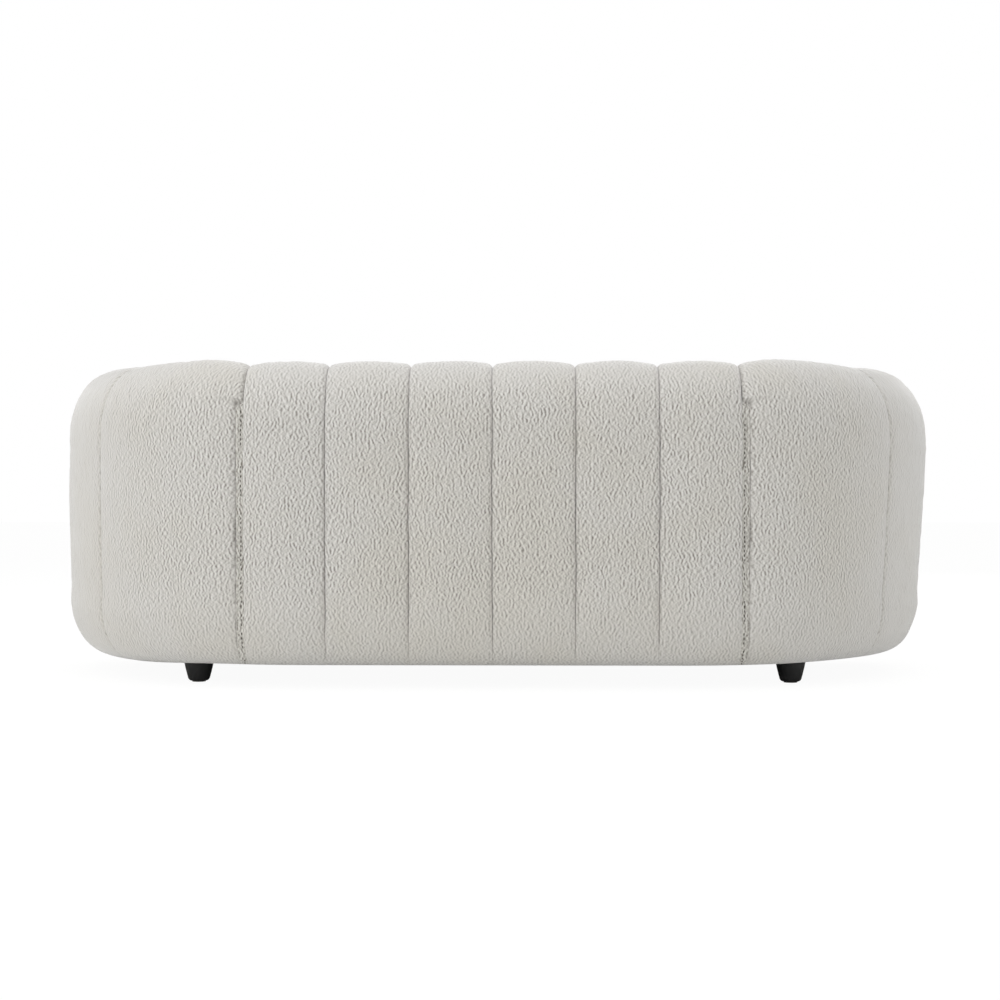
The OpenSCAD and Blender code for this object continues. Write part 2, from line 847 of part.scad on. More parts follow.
module tnut_holes() {
    at_feet() {
        translate([0, 0, base_z - over])
            cylinder(h = base_t + 2 * over, d = tnut_d + 2 * fit_gap);
        translate([0, 0, base_top - tnut_flange_t - fit_gap])
            cylinder(h = tnut_flange_t + fit_gap + over, d = tnut_flange_d + 2 * fit_gap);
    }
}

// Base
module base_rear_plate() {
    color(ply)
        wall_plate(back_inside, base_a, base_a + base_rear_w, base_z, base_t);
}

module base_side_plates() {
    color(ply)
        difference() {
            mirrored()
                wall_plate(arm_inside, base_a, base_a + base_rear_w, base_z, base_t);
            tnut_holes();
        }
}

module base_front_rail() {
    color(beech)
        difference() {
            translate([-inner_x, rail_y, base_z])
                cube([2 * inner_x, base_front_w, base_t]);
            tnut_holes();
        }
}

module base_side_rails() {
    start_y = rail_y + base_front_w;
    plate_edge = base_a + base_rear_w + fit_gap;
    end_y = side_y + sqrt(pow(corner_r - plate_edge, 2) - pow(inner_x - straight_len, 2)) - fit_gap;
    color(beech)
        mirrored()
            union() {
                translate([inner_x - base_side_w, start_y, base_z])
                    cube([base_side_w, end_y - start_y, base_t]);
                translate([inner_x - over, nose_start + fit_gap, base_z])
                    cube([seam_x - plate_edge - inner_x + over, base_side_w, base_t]);
            }
}

module base_cross_rails() {
    start_y = rail_y + base_front_w;
    end_y = seam_y - base_a - base_rear_w;
    color(beech)
        mirrored()
            translate([cross_x - cross_w / 2, start_y, base_z])
                cube([cross_w, end_y - start_y, base_t]);
}

// Seat frame
module seat_front_rail() {
    color(beech)
        translate([-inner_x, rail_y, base_top])
            cube([2 * inner_x, seat_rail_t, seat_rail_top - base_top]);
}

module seat_rear_rail() {
    arc = within(concat(back_run, corner_run), -joint_s, rail_end_s);
    half = [for (s = arc) if (s > 0) s];
    run = concat([for (s = reversed(half)) -s], [0], half);
    color(ply)
        wall_plate(run, rail_a, rail_a + seat_rail_t, base_top, seat_rail_top - base_top);
}

module seat_side_rails() {
    start_y = rail_y + seat_rail_t;
    corner = seam_point(rail_end_s, rail_a + seat_rail_t);
    color(beech)
        mirrored()
            translate([inner_x - seat_rail_t, start_y, base_top])
                cube([seat_rail_t, corner[1] - crease_w - start_y, seat_rail_top - base_top]);
}

// Springs: flat runs of wire that wind from the front rail to the curved rear rail
spring_y0 = rail_y + seat_rail_t / 2;
wire_z = seat_rail_top + fit_gap;
function spring_x(i) = (2 * i + 1) * spring_step / 2;
function spring_y1(x) =
    side_y + sqrt(pow(rail_r - seat_rail_t / 2, 2) - pow(max(x - straight_len, 0), 2));

// One edge of a spring's wire round all its bends, moved off its middle line
function wire_edge(x, n, r, offset) = [
    for (k = [0 : n - 1]) for (t = [-90 : 45 : 90])
        let (side = k % 2 == 0 ? 1 : -1)
        let (q = r + side * offset)
        [x + side * (bar_l / 2 + q * cos(t)), spring_y0 + (2 * k + 1) * r + q * sin(t)]
];

module spring(x) {
    y1 = spring_y1(x);
    n = floor((y1 - spring_y0) / spring_pitch);
    r = (y1 - spring_y0) / n / 2;
    side = n % 2 == 0 ? 1 : -1;
    start = [x - bar_l / 2, spring_y0];
    end = [x + side * bar_l / 2, y1];
    half = [0, wire_t / 2];
    translate([0, 0, wire_z])
        linear_extrude(wire_t)
            polygon(concat(
                [start - half],
                wire_edge(x, n, r, wire_t / 2),
                [end - side * half, end + side * half],
                reversed(wire_edge(x, n, r, -wire_t / 2)),
                [start + half]
            ));
}

module seat_springs() {
    color(zinc)
        mirrored()
            for (i = [0 : spring_pairs - 1])
                spring(spring_x(i));
}

module spring_clips() {
    slot_w = wire_t + 2 * fit_gap;
    color(black)
        mirrored()
            for (i = [0 : spring_pairs - 1])
                for (y = [spring_y0, spring_y1(spring_x(i))])
                    translate([spring_x(i), y, seat_rail_top])
                        difference() {
                            translate([-clip_l / 2, -clip_w / 2, 0])
                                cube([clip_l, clip_w, slot_w + clip_t]);
                            translate([-clip_l / 2 - over, -slot_w / 2, -over])
                                cube([clip_l + 2 * over, slot_w, slot_w + over]);
                        }
}

// Places of the first and the last tie wire, as shares of the springs' length
tie_shares = [0.18, 0.63];

module tie_wires() {
    first_y = spring_y0 + tie_shares[0] * (side_y + rail_r - spring_y0);
    last_y = spring_y0 + tie_shares[1] * (side_y + rail_r - spring_y0);
    color(zinc)
        for (i = [0 : tie_n - 1])
            translate([-inner_x + seat_rail_t, first_y + i * (last_y - first_y) / (tie_n - 1),
                       wire_z - tie_d / 2])
                rotate([0, 90, 0])
                    cylinder(h = 2 * (inner_x - seat_rail_t), d = tie_d);
}

// Underside
module dust_cover() {
    color(black)
        difference() {
            translate([0, 0, base_z - dust_t])
                linear_extrude(dust_t)
                    polygon(well(base_a, inner_x, rail_y + border_wrap));
            at_feet()
                translate([0, 0, base_z - dust_t - over])
                    cylinder(h = dust_t + 2 * over, d = hanger_d + 2 * fit_gap);
        }
}

// Points up the side of a foot, as shares of its height
foot_shares = [0.2, 0.4, 0.6, 0.8, 1];

module foot() {
    bottom_r = foot_bottom_d / 2;
    swell = foot_top_d / 2 - bottom_r;
    height = foot_top - glide_top;
    profile = concat(
        [[0, glide_top]],
        [for (t = [-90, -65, -40, -15])
            [bottom_r - foot_edge + foot_edge * cos(t), glide_top + foot_edge + foot_edge * sin(t)]],
        [for (k = foot_shares)
            [bottom_r + swell * k + foot_belly * 4 * k * (1 - k),
             glide_top + foot_edge + (height - foot_edge) * k]],
        [[0, foot_top]]
    );
    difference() {
        rotate_extrude()
            polygon(profile);
        translate([0, 0, foot_top - hanger_depth])
            cylinder(h = hanger_depth + over, d = hanger_d + 2 * fit_gap);
    }
}

module rear_feet() {
    color(black)
        for (x = [-foot_x, foot_x])
            translate([x, rear_foot_y, 0])
                foot();
}

module front_feet() {
    color(black)
        for (x = [-foot_x, foot_x])
            translate([x, front_foot_y, 0])
                foot();
}

module foot_glides() {
    color("#6f6a62")
        at_feet()
            cylinder(h = glide_t, d = glide_d);
}

module hanger_bolts() {
    start = foot_top - hanger_depth + fit_gap;
    color(zinc)
        at_feet()
            translate([0, 0, start])
                cylinder(h = base_top - tnut_flange_t - start, d = hanger_d);
}

module t_nuts() {
    color(zinc)
        at_feet()
            translate([0, 0, base_top - tnut_flange_t])
                difference() {
                    union() {
                        translate([0, 0, -tnut_l])
                            cylinder(h = tnut_l + tnut_flange_t / 2, d = tnut_d);
                        cylinder(h = tnut_flange_t, d = tnut_flange_d);
                    }
                    translate([0, 0, -tnut_l - over])
                        cylinder(h = tnut_l + tnut_flange_t + 2 * over, d = hanger_d + 2 * fit_gap);
                }
}

back_channel(0);  // back_channel_1
back_channel(1);  // back_channel_2
back_channel(2);  // back_channel_3
back_channel(3);  // back_channel_4
back_channel(4);  // back_channel_5
back_channel(5);  // back_channel_6
mirror([1, 0, 0]) corner_panel();  // corner_panel_left
corner_panel();  // corner_panel_right
mirror([1, 0, 0]) side_panel();  // side_panel_left
side_panel();  // side_panel_right
mirror([1, 0, 0]) arm_front_panel();  // arm_front_panel_left
arm_front_panel();  // arm_front_panel_right
mirror([1, 0, 0]) arm_nose();  // arm_nose_left
arm_nose();  // arm_nose_right
mirror([1, 0, 0]) closing_flap();  // closing_flap_left
closing_flap();  // closing_flap_right
front_border();
deck_pad();
mirror([1, 0, 0]) cushion(1, "cover");  // cushion_cover_left
cushion(0, "cover");  // cushion_cover_center
cushion(1, "cover");  // cushion_cover_right
mirror([1, 0, 0]) cushion(1, "core");  // cushion_core_left
cushion(0, "core");  // cushion_core_center
cushion(1, "core");  // cushion_core_right
mirror([1, 0, 0]) cushion(1, "zip");  // cushion_zip_left
cushion(0, "zip");  // cushion_zip_center
cushion(1, "zip");  // cushion_zip_right
back_top_rail();
back_bottom_rail();
back_posts();
back_end_boards();
back_liner();
back_straps();
arm_top_plates();
arm_bottom_plates();
arm_liners();
arm_inner_boards();
arm_posts();
arm_rear_boards();
arm_front_boards();
joint_bolts();
joint_nuts();
base_rear_plate();
base_side_plates();
base_front_rail();
base_side_rails();
base_cross_rails();
seat_front_rail();
seat_rear_rail();
seat_side_rails();
seat_springs();
spring_clips();
tie_wires();
dust_cover();
rear_feet();
front_feet();
foot_glides();
hanger_bolts();
t_nuts();
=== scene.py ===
# Tuxedo sofa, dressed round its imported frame.
# Front is -Y and the back is +Y; left and right are as seen from the front. Lengths are in metres.
import json
import math

import bmesh
import bpy
import numpy as np
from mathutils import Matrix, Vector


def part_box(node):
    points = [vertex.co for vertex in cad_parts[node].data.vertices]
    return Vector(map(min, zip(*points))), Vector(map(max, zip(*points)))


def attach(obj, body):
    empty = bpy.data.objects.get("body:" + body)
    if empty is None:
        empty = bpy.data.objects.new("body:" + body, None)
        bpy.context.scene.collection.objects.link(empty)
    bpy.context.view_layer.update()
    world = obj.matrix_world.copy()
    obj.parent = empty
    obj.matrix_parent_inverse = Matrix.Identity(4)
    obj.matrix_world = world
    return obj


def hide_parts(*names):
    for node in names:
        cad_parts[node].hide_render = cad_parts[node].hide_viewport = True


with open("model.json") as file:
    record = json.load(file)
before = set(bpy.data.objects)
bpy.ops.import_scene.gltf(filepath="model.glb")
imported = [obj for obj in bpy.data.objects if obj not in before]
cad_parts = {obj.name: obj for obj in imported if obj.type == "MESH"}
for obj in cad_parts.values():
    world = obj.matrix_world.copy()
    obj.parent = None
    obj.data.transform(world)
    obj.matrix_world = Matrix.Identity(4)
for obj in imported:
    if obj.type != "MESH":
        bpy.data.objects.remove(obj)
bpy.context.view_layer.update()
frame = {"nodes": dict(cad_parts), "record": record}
nodes = frame["nodes"]
print("frame loaded with", len(nodes), "nodes")


# Camera: behind the sofa, a little to one side, level, about four metres away
view = dict(place=(-0.086, 4.45, 0.43), aim=(-0.0104, -0.009, 0.43), focal=64.3, sensor=36, farthest=60)


def makeCamera():
    data = bpy.data.cameras.new("camera")
    data.lens, data.sensor_width = view["focal"], view["sensor"]
    data.clip_end = view["farthest"]
    camera = bpy.data.objects.new("camera", data)
    bpy.context.scene.collection.objects.link(camera)
    direction = np.subtract(view["aim"], view["place"])
    camera.location = view["place"]
    camera.rotation_euler = (math.pi / 2, 0, math.atan2(-direction[0], direction[1]))
    bpy.context.scene.camera = camera


# Materials
class Wire:
    # One output of a material's nodes: sums, differences and products of wires add Math nodes
    def __init__(self, recipe, socket):
        self.recipe, self.socket = recipe, socket

    def __add__(self, other):
        return self.recipe.math("ADD", self, other)

    def __sub__(self, other):
        return self.recipe.math("SUBTRACT", self, other)

    def __rsub__(self, other):
        return self.recipe.math("SUBTRACT", other, self)

    def __mul__(self, other):
        return self.recipe.math("MULTIPLY", self, other)

    __radd__, __rmul__ = __add__, __mul__


class Graph:
    # A tree of nodes: a socket is given by its name or number, and takes a value or a wire
    def __init__(self, tree):
        self.tree = tree
        tree.nodes.clear()

    def add(self, kind, inputs=None, output=0, **settings):
        node = self.tree.nodes.new(f"ShaderNode{kind}")
        for name, value in settings.items():
            setattr(node, name, value)
        for place, value in (inputs or {}).items():
            self.plug(node.inputs[place], value)
        return Wire(self, node.outputs[output])

    def plug(self, socket, value):
        if isinstance(value, Wire):
            self.tree.links.new(value.socket, socket)
        else:
            socket.default_value = value

    def math(self, operation, *values):
        return self.add("Math", dict(enumerate(values)), operation=operation)


class Recipe(Graph):
    # A material made node by node round a principled shader
    def __init__(self, name, **fixed):
        self.material = bpy.data.materials.new(name)
        self.material.use_nodes = True
        super().__init__(self.material.node_tree)
        self.shader = self.tree.nodes.new("ShaderNodeBsdfPrincipled")
        self.output = self.tree.nodes.new("ShaderNodeOutputMaterial")
        self.tree.links.new(self.shader.outputs[0], self.output.inputs[0])
        self.fill(fixed)

    def fill(self, sockets):
        # The shader's own sockets, by their names with _ for each space
        for socket, value in sockets.items():
            self.plug(self.shader.inputs[socket.replace("_", " ")], value)

    def vector(self, operation, *values):
        return self.add("VectorMath", dict(enumerate(values)), operation=operation)

    def mix(self, factor, a, b):
        return self.add("Mix", {0: factor, 6: a, 7: b}, 2, data_type="RGBA")

    def step(self, value, low, high):
        return self.add("MapRange", {0: value, 1: low, 2: high}, interpolation_type="SMOOTHSTEP")

    def mottle(self, level, low, high, first, second):
        # From the first colour to the second, as the level rises from low to high
        return self.mix(self.step(level, low, high), tint(*first), tint(*second))

    def noise(self, place, *amounts, output=0):
        # The amounts are the scale, the detail, the roughness and the distortion
        inputs = dict(zip(("Scale", "Detail", "Roughness", "Distortion"), amounts), Vector=place)
        return self.add("TexNoise", inputs, output)

    def wave(self, place, axis, *amounts):
        # The amounts are the scale and the distortion
        inputs = dict(zip(("Scale", "Distortion"), amounts), Vector=place)
        return self.add("TexWave", inputs, 1, bands_direction=axis)

    def place(self):
        return self.add("TexCoord", output="Object")

    def finish(self, height, strength, distance, **varying):
        # The bump is as deep as the distance, in metres
        self.fill(varying)
        bump = self.add("Bump", {"Strength": strength, "Distance": distance, "Height": height})
        self.plug(self.shader.inputs["Normal"], bump)
        return self.material


def tint(red, green, blue):
    # A colour as it shows on a screen, from 0 to 255, as the linear values that a socket takes
    screen = np.array([red, green, blue]) / 255
    return (*np.where(screen < 0.04045, screen / 12.92, ((screen + 0.055) / 1.055) ** 2.4), 1)


sherpa = dict(
    curl=(0.0042, 0.0092),      # width and length of a curl
    bend=(0.3, 1.5, 0.6),       # scale, detail and roughness of the noise that bends the curls
    wander=(1.3, 0.8),          # how far the curls wander sideways and lengthwise, in curls
    apart=1.05,                 # distance from a curl's middle to the gaps beside it, in curls
    detail=1.1, fibres=(5.0, 3, 0.6), fibreShare=0.16,
    # dark is painted shade: the colour that the gaps between the curls take, where shade falls
    light=(218, 216, 212), dark=(124, 119, 112), warm=(215, 212, 205),
    worn=(3.4, 3, 0.55), wornSpan=(0.35, 0.68),
    span=(0.05, 0.78), depth=0.0022, sheen=0.8,
    paintedLightTone=0.72, paintedLightDepthLoss=0.6,       # the even, lighter tone that the pile takes as painted light, and the share of its bump depth lost there
)


def makeSherpa(name, light, dark, span):
    # Curled pile: noise stretched lengthwise and bent by a slower noise, less half the noise on each side of it,
    # which leaves narrow curls all of one width; the low parts are the gaps between them, coloured dark as painted
    # shade
    cloth = Recipe(name, Roughness=0.95, Sheen_Weight=sherpa["sheen"], Sheen_Roughness=0.55,
                   Specular_IOR_Level=0.15)
    pile = cloth.add("UVMap", uv_map="pile")
    width, length = sherpa["curl"]
    place = cloth.vector("MULTIPLY", pile, (1 / width, 1 / length, 0))
    drift = cloth.vector("SUBTRACT", cloth.noise(place, *sherpa["bend"], output=1), (0.5, 0.5, 0.5))
    place = cloth.vector("ADD", place, cloth.vector("MULTIPLY", drift, (*sherpa["wander"], 0)))
    gap = (sherpa["apart"], 0, 0)
    spots = (place, cloth.vector("ADD", place, gap), cloth.vector("SUBTRACT", place, gap))
    middle, after, before = (cloth.noise(spot, 1, sherpa["detail"]) for spot in spots)
    fibres = cloth.noise(place, *sherpa["fibres"])
    height = 0.5 + middle - (after + before) * 0.5 + (fibres - 0.5) * sherpa["fibreShare"]
    paintedLightAndFlat = cloth.add("Attribute", output="Fac", attribute_name="paintedLightAndFlat")
    worn = cloth.noise(cloth.place(), *sherpa["worn"])
    base = cloth.mottle(worn, *sherpa["wornSpan"], light, sherpa["warm"])
    shade = cloth.step(height, *span)
    # Painted light: where the attribute is full, the painted gap shade gives way to one even, lighter tone, and
    # the bump flattens
    shade = shade + (sherpa["paintedLightTone"] - shade) * paintedLightAndFlat
    height = height * (1 - paintedLightAndFlat * sherpa["paintedLightDepthLoss"])
    return cloth.finish(height, 0.9, sherpa["depth"], Base_Color=cloth.mix(shade, tint(*dark), base))


def makeWoven(name, colour, threads, depth, roughness=0.9):
    # Plain weave: a wave along each axis, read on the piece's own places, so two of them cross on every face
    cloth = Recipe(name, Roughness=roughness, Sheen_Weight=0.15, Specular_IOR_Level=0.2)
    place = cloth.place()
    warp, weft, cross = (cloth.wave(place, axis, threads, 0.6) for axis in "XZY")
    weave = warp * 0.4 + weft * 0.4 + cross * 0.4
    worn = weave * 0.7 + cloth.noise(place, 14, 3) * 0.5
    base = cloth.mottle(worn, 0.3, 0.9, [0.78 * c for c in colour], colour)
    return cloth.finish(weave, 0.6, depth, Base_Color=base)


def makeWood(name, light, dark, along, layers=0.0):
    # Grain: stretched noise bent into rings, and for plywood the edges of its layers up the Z axis
    wood = Recipe(name, Roughness=0.62, Specular_IOR_Level=0.3)
    place = wood.place()
    stretched = wood.vector("MULTIPLY", place, along)
    rings = wood.noise(stretched, 9, 4, 0.6, 1.2)
    pores = wood.noise(stretched, 70, 2, 0.7)
    grain = rings * 0.75 + pores * 0.35
    base = wood.mottle(grain, 0.34, 0.76, dark, light)
    if layers:
        plies = wood.wave(place, "Z", layers, 0.15)
        base = wood.mix(wood.step(plies, 0.55, 0.85) * 0.45, base, tint(*dark))
    return wood.finish(grain, 0.25, 0.0006, Base_Color=base, Roughness=0.5 + pores * 0.25)


def makeMetal(name, colour, roughness, metallic):
    # Clouded plating, with scratches along Y
    metal = Recipe(name, Metallic=metallic)
    place = metal.place()
    cloud = metal.noise(place, 30, 4, 0.6)
    scratches = metal.noise(metal.vector("MULTIPLY", place, (6, 1, 6)), 160, 2)
    base = metal.mottle(cloud, 0.3, 0.7, [0.8 * c for c in colour], colour)
    return metal.finish(scratches, 0.15, 0.0003, Base_Color=base, Roughness=roughness + cloud * 0.2)


def makePlastic(name, colour, grain, roughness):
    # A fine moulded grain, with a little dust on it
    plastic = Recipe(name, Specular_IOR_Level=0.4)
    place = plastic.place()
    leather = plastic.noise(place, grain, 3, 0.6)
    dust = plastic.noise(place, 18, 4, 0.6)
    base = plastic.mottle(dust, 0.5, 0.8, colour, [c + 16 for c in colour])
    return plastic.finish(leather, 0.35, 0.0004, Base_Color=base, Roughness=roughness + dust * 0.25)


def makeFoam():
    # Open cells, as the distance to scattered points, and slow patches of yellowing
    foam = Recipe("foam", Roughness=0.9, Specular_IOR_Level=0.15)
    place = foam.place()
    cells = foam.add("TexVoronoi", {"Vector": place, "Scale": 420})
    base = foam.mottle(foam.noise(place, 9, 3), 0.35, 0.7, (232, 220, 184), (222, 206, 164))
    return foam.finish(cells, 0.7, 0.001, Base_Color=base)


def makeZip():
    # Teeth: a wave along the zip, sharpened
    tape = Recipe("zipTape", Roughness=0.55, Specular_IOR_Level=0.35)
    bite = tape.step(tape.wave(tape.place(), "X", 110), 0.35, 0.65)
    base = tape.mix(bite, tint(96, 91, 82), tint(150, 144, 132))
    return tape.finish(bite, 0.8, 0.0008, Base_Color=base)


materials = dict(
    sherpa=makeSherpa("sherpa", sherpa["light"], sherpa["dark"], sherpa["span"]),
    # A darker copy of the sherpa: painted shade for the closing strip, which lies in its bed below the pads
    shadedFlapCloth=makeSherpa("shadedFlapPile", (214, 212, 206), (112, 107, 98), (0.1, 0.8)),
    deckCloth=makeWoven("deckCloth", (150, 144, 133), 150, 0.0006),
    webbing=makeWoven("webbing", (112, 104, 92), 120, 0.001),
    dustCloth=makeWoven("dustCloth", (26, 26, 27), 220, 0.0003),
    felt=makeWoven("felt", (108, 103, 95), 260, 0.0008, 0.95),
    foam=makeFoam(),
    zip=makeZip(),
    beech=makeWood("beech", (205, 164, 118), (170, 122, 78), (1, 6, 6)),
    plywood=makeWood("plywood", (214, 182, 138), (176, 136, 90), (2, 5, 3), 26),
    board=makeWood("board", (146, 116, 84), (112, 86, 60), (3, 3, 3)),
    steel=makeMetal("zincSteel", (190, 192, 196), 0.3, 0.9),
    clip=makePlastic("blackClip", (32, 32, 33), 500, 0.45),
    foot=makePlastic("blackFoot", (17, 17, 18), 900, 0.38),
    # Dark stitches: thread, and partly painted shade of the pits where the stitches pull into the pile
    threadAndPitShade=makePlastic("threadAndPitShade", (58, 53, 46), 700, 0.8),
)
print("materials made:", len(materials))


# Meshes
def gridFaces(rows, columns, wrap=False):
    # Four-sided faces between neighbouring points of a grid, closed round its columns if wrap is set
    index = np.arange(rows * columns).reshape(rows, columns)
    beside = np.roll(index, -1, axis=1)
    faces = np.stack([index[:-1], beside[:-1], beside[1:], index[1:]], axis=-1)
    return (faces if wrap else faces[:, :-1]).reshape(-1, 4)


def tubeFaces(points):
    # A grid closed round its columns, with a face over its first row and one over its last
    rows, columns = np.shape(points)[:2]
    ends = [np.arange(columns)[None, ::-1], (rows - 1) * columns + np.arange(columns)[None, :]]
    return [gridFaces(rows, columns, True), *ends]


def spread(*parts):
    # Places from their coordinates, each of which may be a number, a row, a column or a whole grid
    return np.stack(np.broadcast_arrays(*parts), axis=-1)


def volumeOf(points, faces):
    # Signed volume: a sixth of p0 . (p1 x p2) over the fan of triangles of every face
    total = 0.0
    for group in faces:
        corners = points[group]
        crosses = np.cross(corners[:, 1:-1], corners[:, 2:])
        total += (corners[:, :1] * crosses).sum() / 6
    return total


def read(items, field, width=1):
    # A field of every point, one row each
    found = np.empty(len(items) * width, np.float32)
    items.foreach_get(field, found)
    return found.reshape(-1, width).astype(float)


def setPlaces(mesh, spots):
    mesh.vertices.foreach_set("co", np.asarray(spots, np.float32).ravel())


def setLevel(mesh, name, level):
    # An attribute with one number at each point, or the same number at all of them
    data = mesh.attributes.new(name, "FLOAT", "POINT").data
    data.foreach_set("value", (np.zeros(len(data)) + np.ravel(level)).astype(np.float32))


def makeMesh(name, points, faces, pile=None, paintedLightAndFlat=None, sharp=55):
    # Points is an array of places, faces a list of arrays of corner numbers, pile the cloth's own coordinates,
    # paintedLightAndFlat how far the pile's painted gap shade gives way to an even, lighter tone, as painted
    # light, and its bump flattens, and sharp the angle, in degrees, from which an edge shows
    points = np.asarray(points, np.float32).reshape(-1, 3)
    if volumeOf(points.astype(float), faces) < 0:
        faces = [group[:, ::-1] for group in faces]
    corners = np.concatenate([group.ravel() for group in faces]).astype(np.int32)
    counts = np.concatenate([np.full(len(group), group.shape[1]) for group in faces])
    mesh = bpy.data.meshes.new(name)
    mesh.vertices.add(len(points))
    setPlaces(mesh, points)
    mesh.loops.add(len(corners))
    mesh.loops.foreach_set("vertex_index", corners)
    mesh.polygons.add(len(counts))
    starts = np.concatenate([[0], np.cumsum(counts)[:-1]])
    mesh.polygons.foreach_set("loop_start", starts.astype(np.int32))
    mesh.update(calc_edges=True)
    if pile is not None:
        layer = mesh.uv_layers.new(name="pile")
        layer.data.foreach_set("uv", np.asarray(pile, np.float32).reshape(-1, 2)[corners].ravel())
    if paintedLightAndFlat is not None:
        setLevel(mesh, "paintedLightAndFlat", paintedLightAndFlat)
    mesh.validate()
    mesh.shade_smooth()
    mesh.set_sharp_from_angle(angle=math.radians(sharp))
    piece = bpy.data.objects.new(name, mesh)
    bpy.context.scene.collection.objects.link(piece)
    return piece


def dress(piece, material, body="sofa", stands=()):
    piece.data.materials.clear()
    piece.data.materials.append(materials[material])
    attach(piece, body)
    if stands:
        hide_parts(*stands)


def upholster(piece, stands=(), body="sofa", material="sherpa"):
    # A padded piece, dressed in its cloth
    dress(piece, material, body, stands)


def toSide(piece, side):
    # Pieces are made on the right. For the left their places turn over in X, and their faces turn round to point
    # outwards again
    if side == "left":
        mesh = piece.data
        setPlaces(mesh, read(mesh.vertices, "co", 3) * [-1, 1, 1])
        mesh.flip_normals()
        mesh.update()


def weld(piece, distance=0.00002):
    # Points that fall together, as at a pole, are made one
    work = bmesh.new()
    work.from_mesh(piece.data)
    bmesh.ops.remove_doubles(work, verts=work.verts, dist=distance)
    bmesh.ops.recalc_face_normals(work, faces=work.faces)
    work.to_mesh(piece.data)
    work.free()
    piece.data.update()


def eased(t):
    # From 0 to 1 along 3t^2 - 2t^3
    t = np.clip(t, 0, 1)
    return t * t * (3 - 2 * t)


def ripple(u, v, seed):
    # Value noise from -1 to 1: random heights on a unit grid, eased between its corners
    cellU, cellV = np.floor(u), np.floor(v)
    easeU, easeV = eased(u - cellU), eased(v - cellV)

    def corner(stepU, stepV):
        value = np.sin((cellU + stepU) * 127.1 + (cellV + stepV) * 311.7 + seed * 74.7) * 43758.5453
        return 2 * (value - np.floor(value)) - 1

    low = corner(0, 0) * (1 - easeU) + corner(1, 0) * easeU
    high = corner(0, 1) * (1 - easeU) + corner(1, 1) * easeU
    return low * (1 - easeV) + high * easeV


def lengthAlong(path):
    # Length of a line up to each of its points
    return np.concatenate([[0], np.cumsum(np.linalg.norm(np.diff(path, axis=0), axis=1))])


def pick(path, lengths, places):
    # A line's columns, read at places along it
    return np.stack([np.interp(places, lengths, column) for column in path.T], axis=1)


def evenly(path, count):
    # The same line in even steps; columns after the first two only come along
    lengths = lengthAlong(path[:, :2])
    return pick(path, lengths, np.linspace(0, lengths[-1], count + 1))


def resample(path, step):
    # The same line with its points about one step apart
    return evenly(path, max(int(lengthAlong(path[:, :2])[-1] / step), 2))


def softened(path, reach):
    # Corners of a line eased by a running mean, with both its ends kept
    padded = np.concatenate([2 * path[0] - path[reach:0:-1], path, 2 * path[-1] - path[-2:-reach - 2:-1]])
    window = np.hanning(2 * reach + 3)[1:-1]
    return np.stack([np.convolve(column, window / window.sum(), "valid") for column in padded.T], axis=1)


# The wall that runs round the back and both arms
wall = dict(
    width=2.2, depth=0.9, height=0.758, floorGap=0.05, deckHeight=0.29, backFull=0.014,
    cornerRadius=0.65, halfThickness=0.11, recline=0.02, batter=0.008,
    topRound=0.148, bottomRound=0.12, bottomReach=0.08, ridge=0.008, squareness=0.91,
    channels=6, channelWidth=0.1885, frontPanel=0.098, lead=0.02, seamGap=0.0003,
    cavity=[(0.15, 0.29), (0.15, 0.6), (0.04, 0.6), (0.04, 0.108), (0.088, 0.068)],
    roundPoints=90, facePoints=41, softening=4,
)
padding = dict(
    crease=0.006, pinch=0.004, roll=0.013,      # how deep the seams lie, and how fast the pads roll out of them
    channelCrown=0.0085, channelPower=2.2, wideCrown=0.016, widePower=4,
    curl=(0.0105, 0.019), curlHeight=0.0008, curlDrift=0.03, lump=(0.06, 0.09), lumpHeight=0.0012,
    wobble=0.0011, wobbleLength=0.055, wobbleApart=7.3, wobbleSeed=5, seamRelief=0.15,
    across=0.0045, along=0.0045, margin=0.02, bedStep=0.0014, seed=10, leftSeed=100,
    rollSteps=(0, 0.0008, 0.0018, 0.003, 0.0045, 0.0065, 0.009, 0.012, 0.016),
    paintedLightAndFlat=0.6, paintedLightFrom=0.75, paintedLightOver=0.35,     # the pile's painted gap shade is evened into a lighter tone, as painted light, and its bump flattened, round the rear corners,
    mildPaintedLight=0.3, mildPaintedLightFrom=1.3, mildPaintedLightOver=0.3,    # less so on the arms, the noses, the border and the cushions,
    topPaintedLight=(0.5, 0.66, 0.075), lowPaintedLight=(0.35, 0.30, 0.20),     # over the top and low down: level, height, reach
    cornerHold=0.75, cornerCrease=0.6,          # share of the crown and of the crease's depth at the corner's seam
    drawn=0.0035, drawnOver=0.003,              # how far the pads draw in where the wall meets its noses
)
wideFull = padding["crease"] + padding["wideCrown"]
seamX = wall["width"] / 2 - wideFull
seamY = wall["depth"] / 2 - wall["backFull"]
topZ = wall["height"] - wideFull
straight = seamX - wall["cornerRadius"]
arc = wall["cornerRadius"] * math.pi / 2
noseRadius = wall["halfThickness"] + wall["recline"] / 2
noseX = seamX - wall["halfThickness"]
noseY = -wall["depth"] / 2 + wideFull + noseRadius
jointS = wall["channels"] * wall["channelWidth"] / 2
jointSeam = wall["channels"] // 2
frontS = straight + arc + (seamY - wall["cornerRadius"]) - (noseY + wall["lead"])
wideWidth = (frontS - wall["frontPanel"] - jointS) / 2
cornerS, sideS = jointS + wideWidth, jointS + 2 * wideWidth


def seamPoint(s, inward):
    # Straight along the back, a quarter circle round the corner, straight along the arm, moved inward
    length = np.abs(s)
    turn = np.clip((length - straight) / arc, 0, 1) * math.pi / 2
    radius = wall["cornerRadius"] - inward
    x = np.minimum(length, straight) + radius * np.sin(turn)
    y = seamY - wall["cornerRadius"] + radius * np.cos(turn) - np.maximum(length - straight - arc, 0)
    return np.where(s < 0, -x, x), y


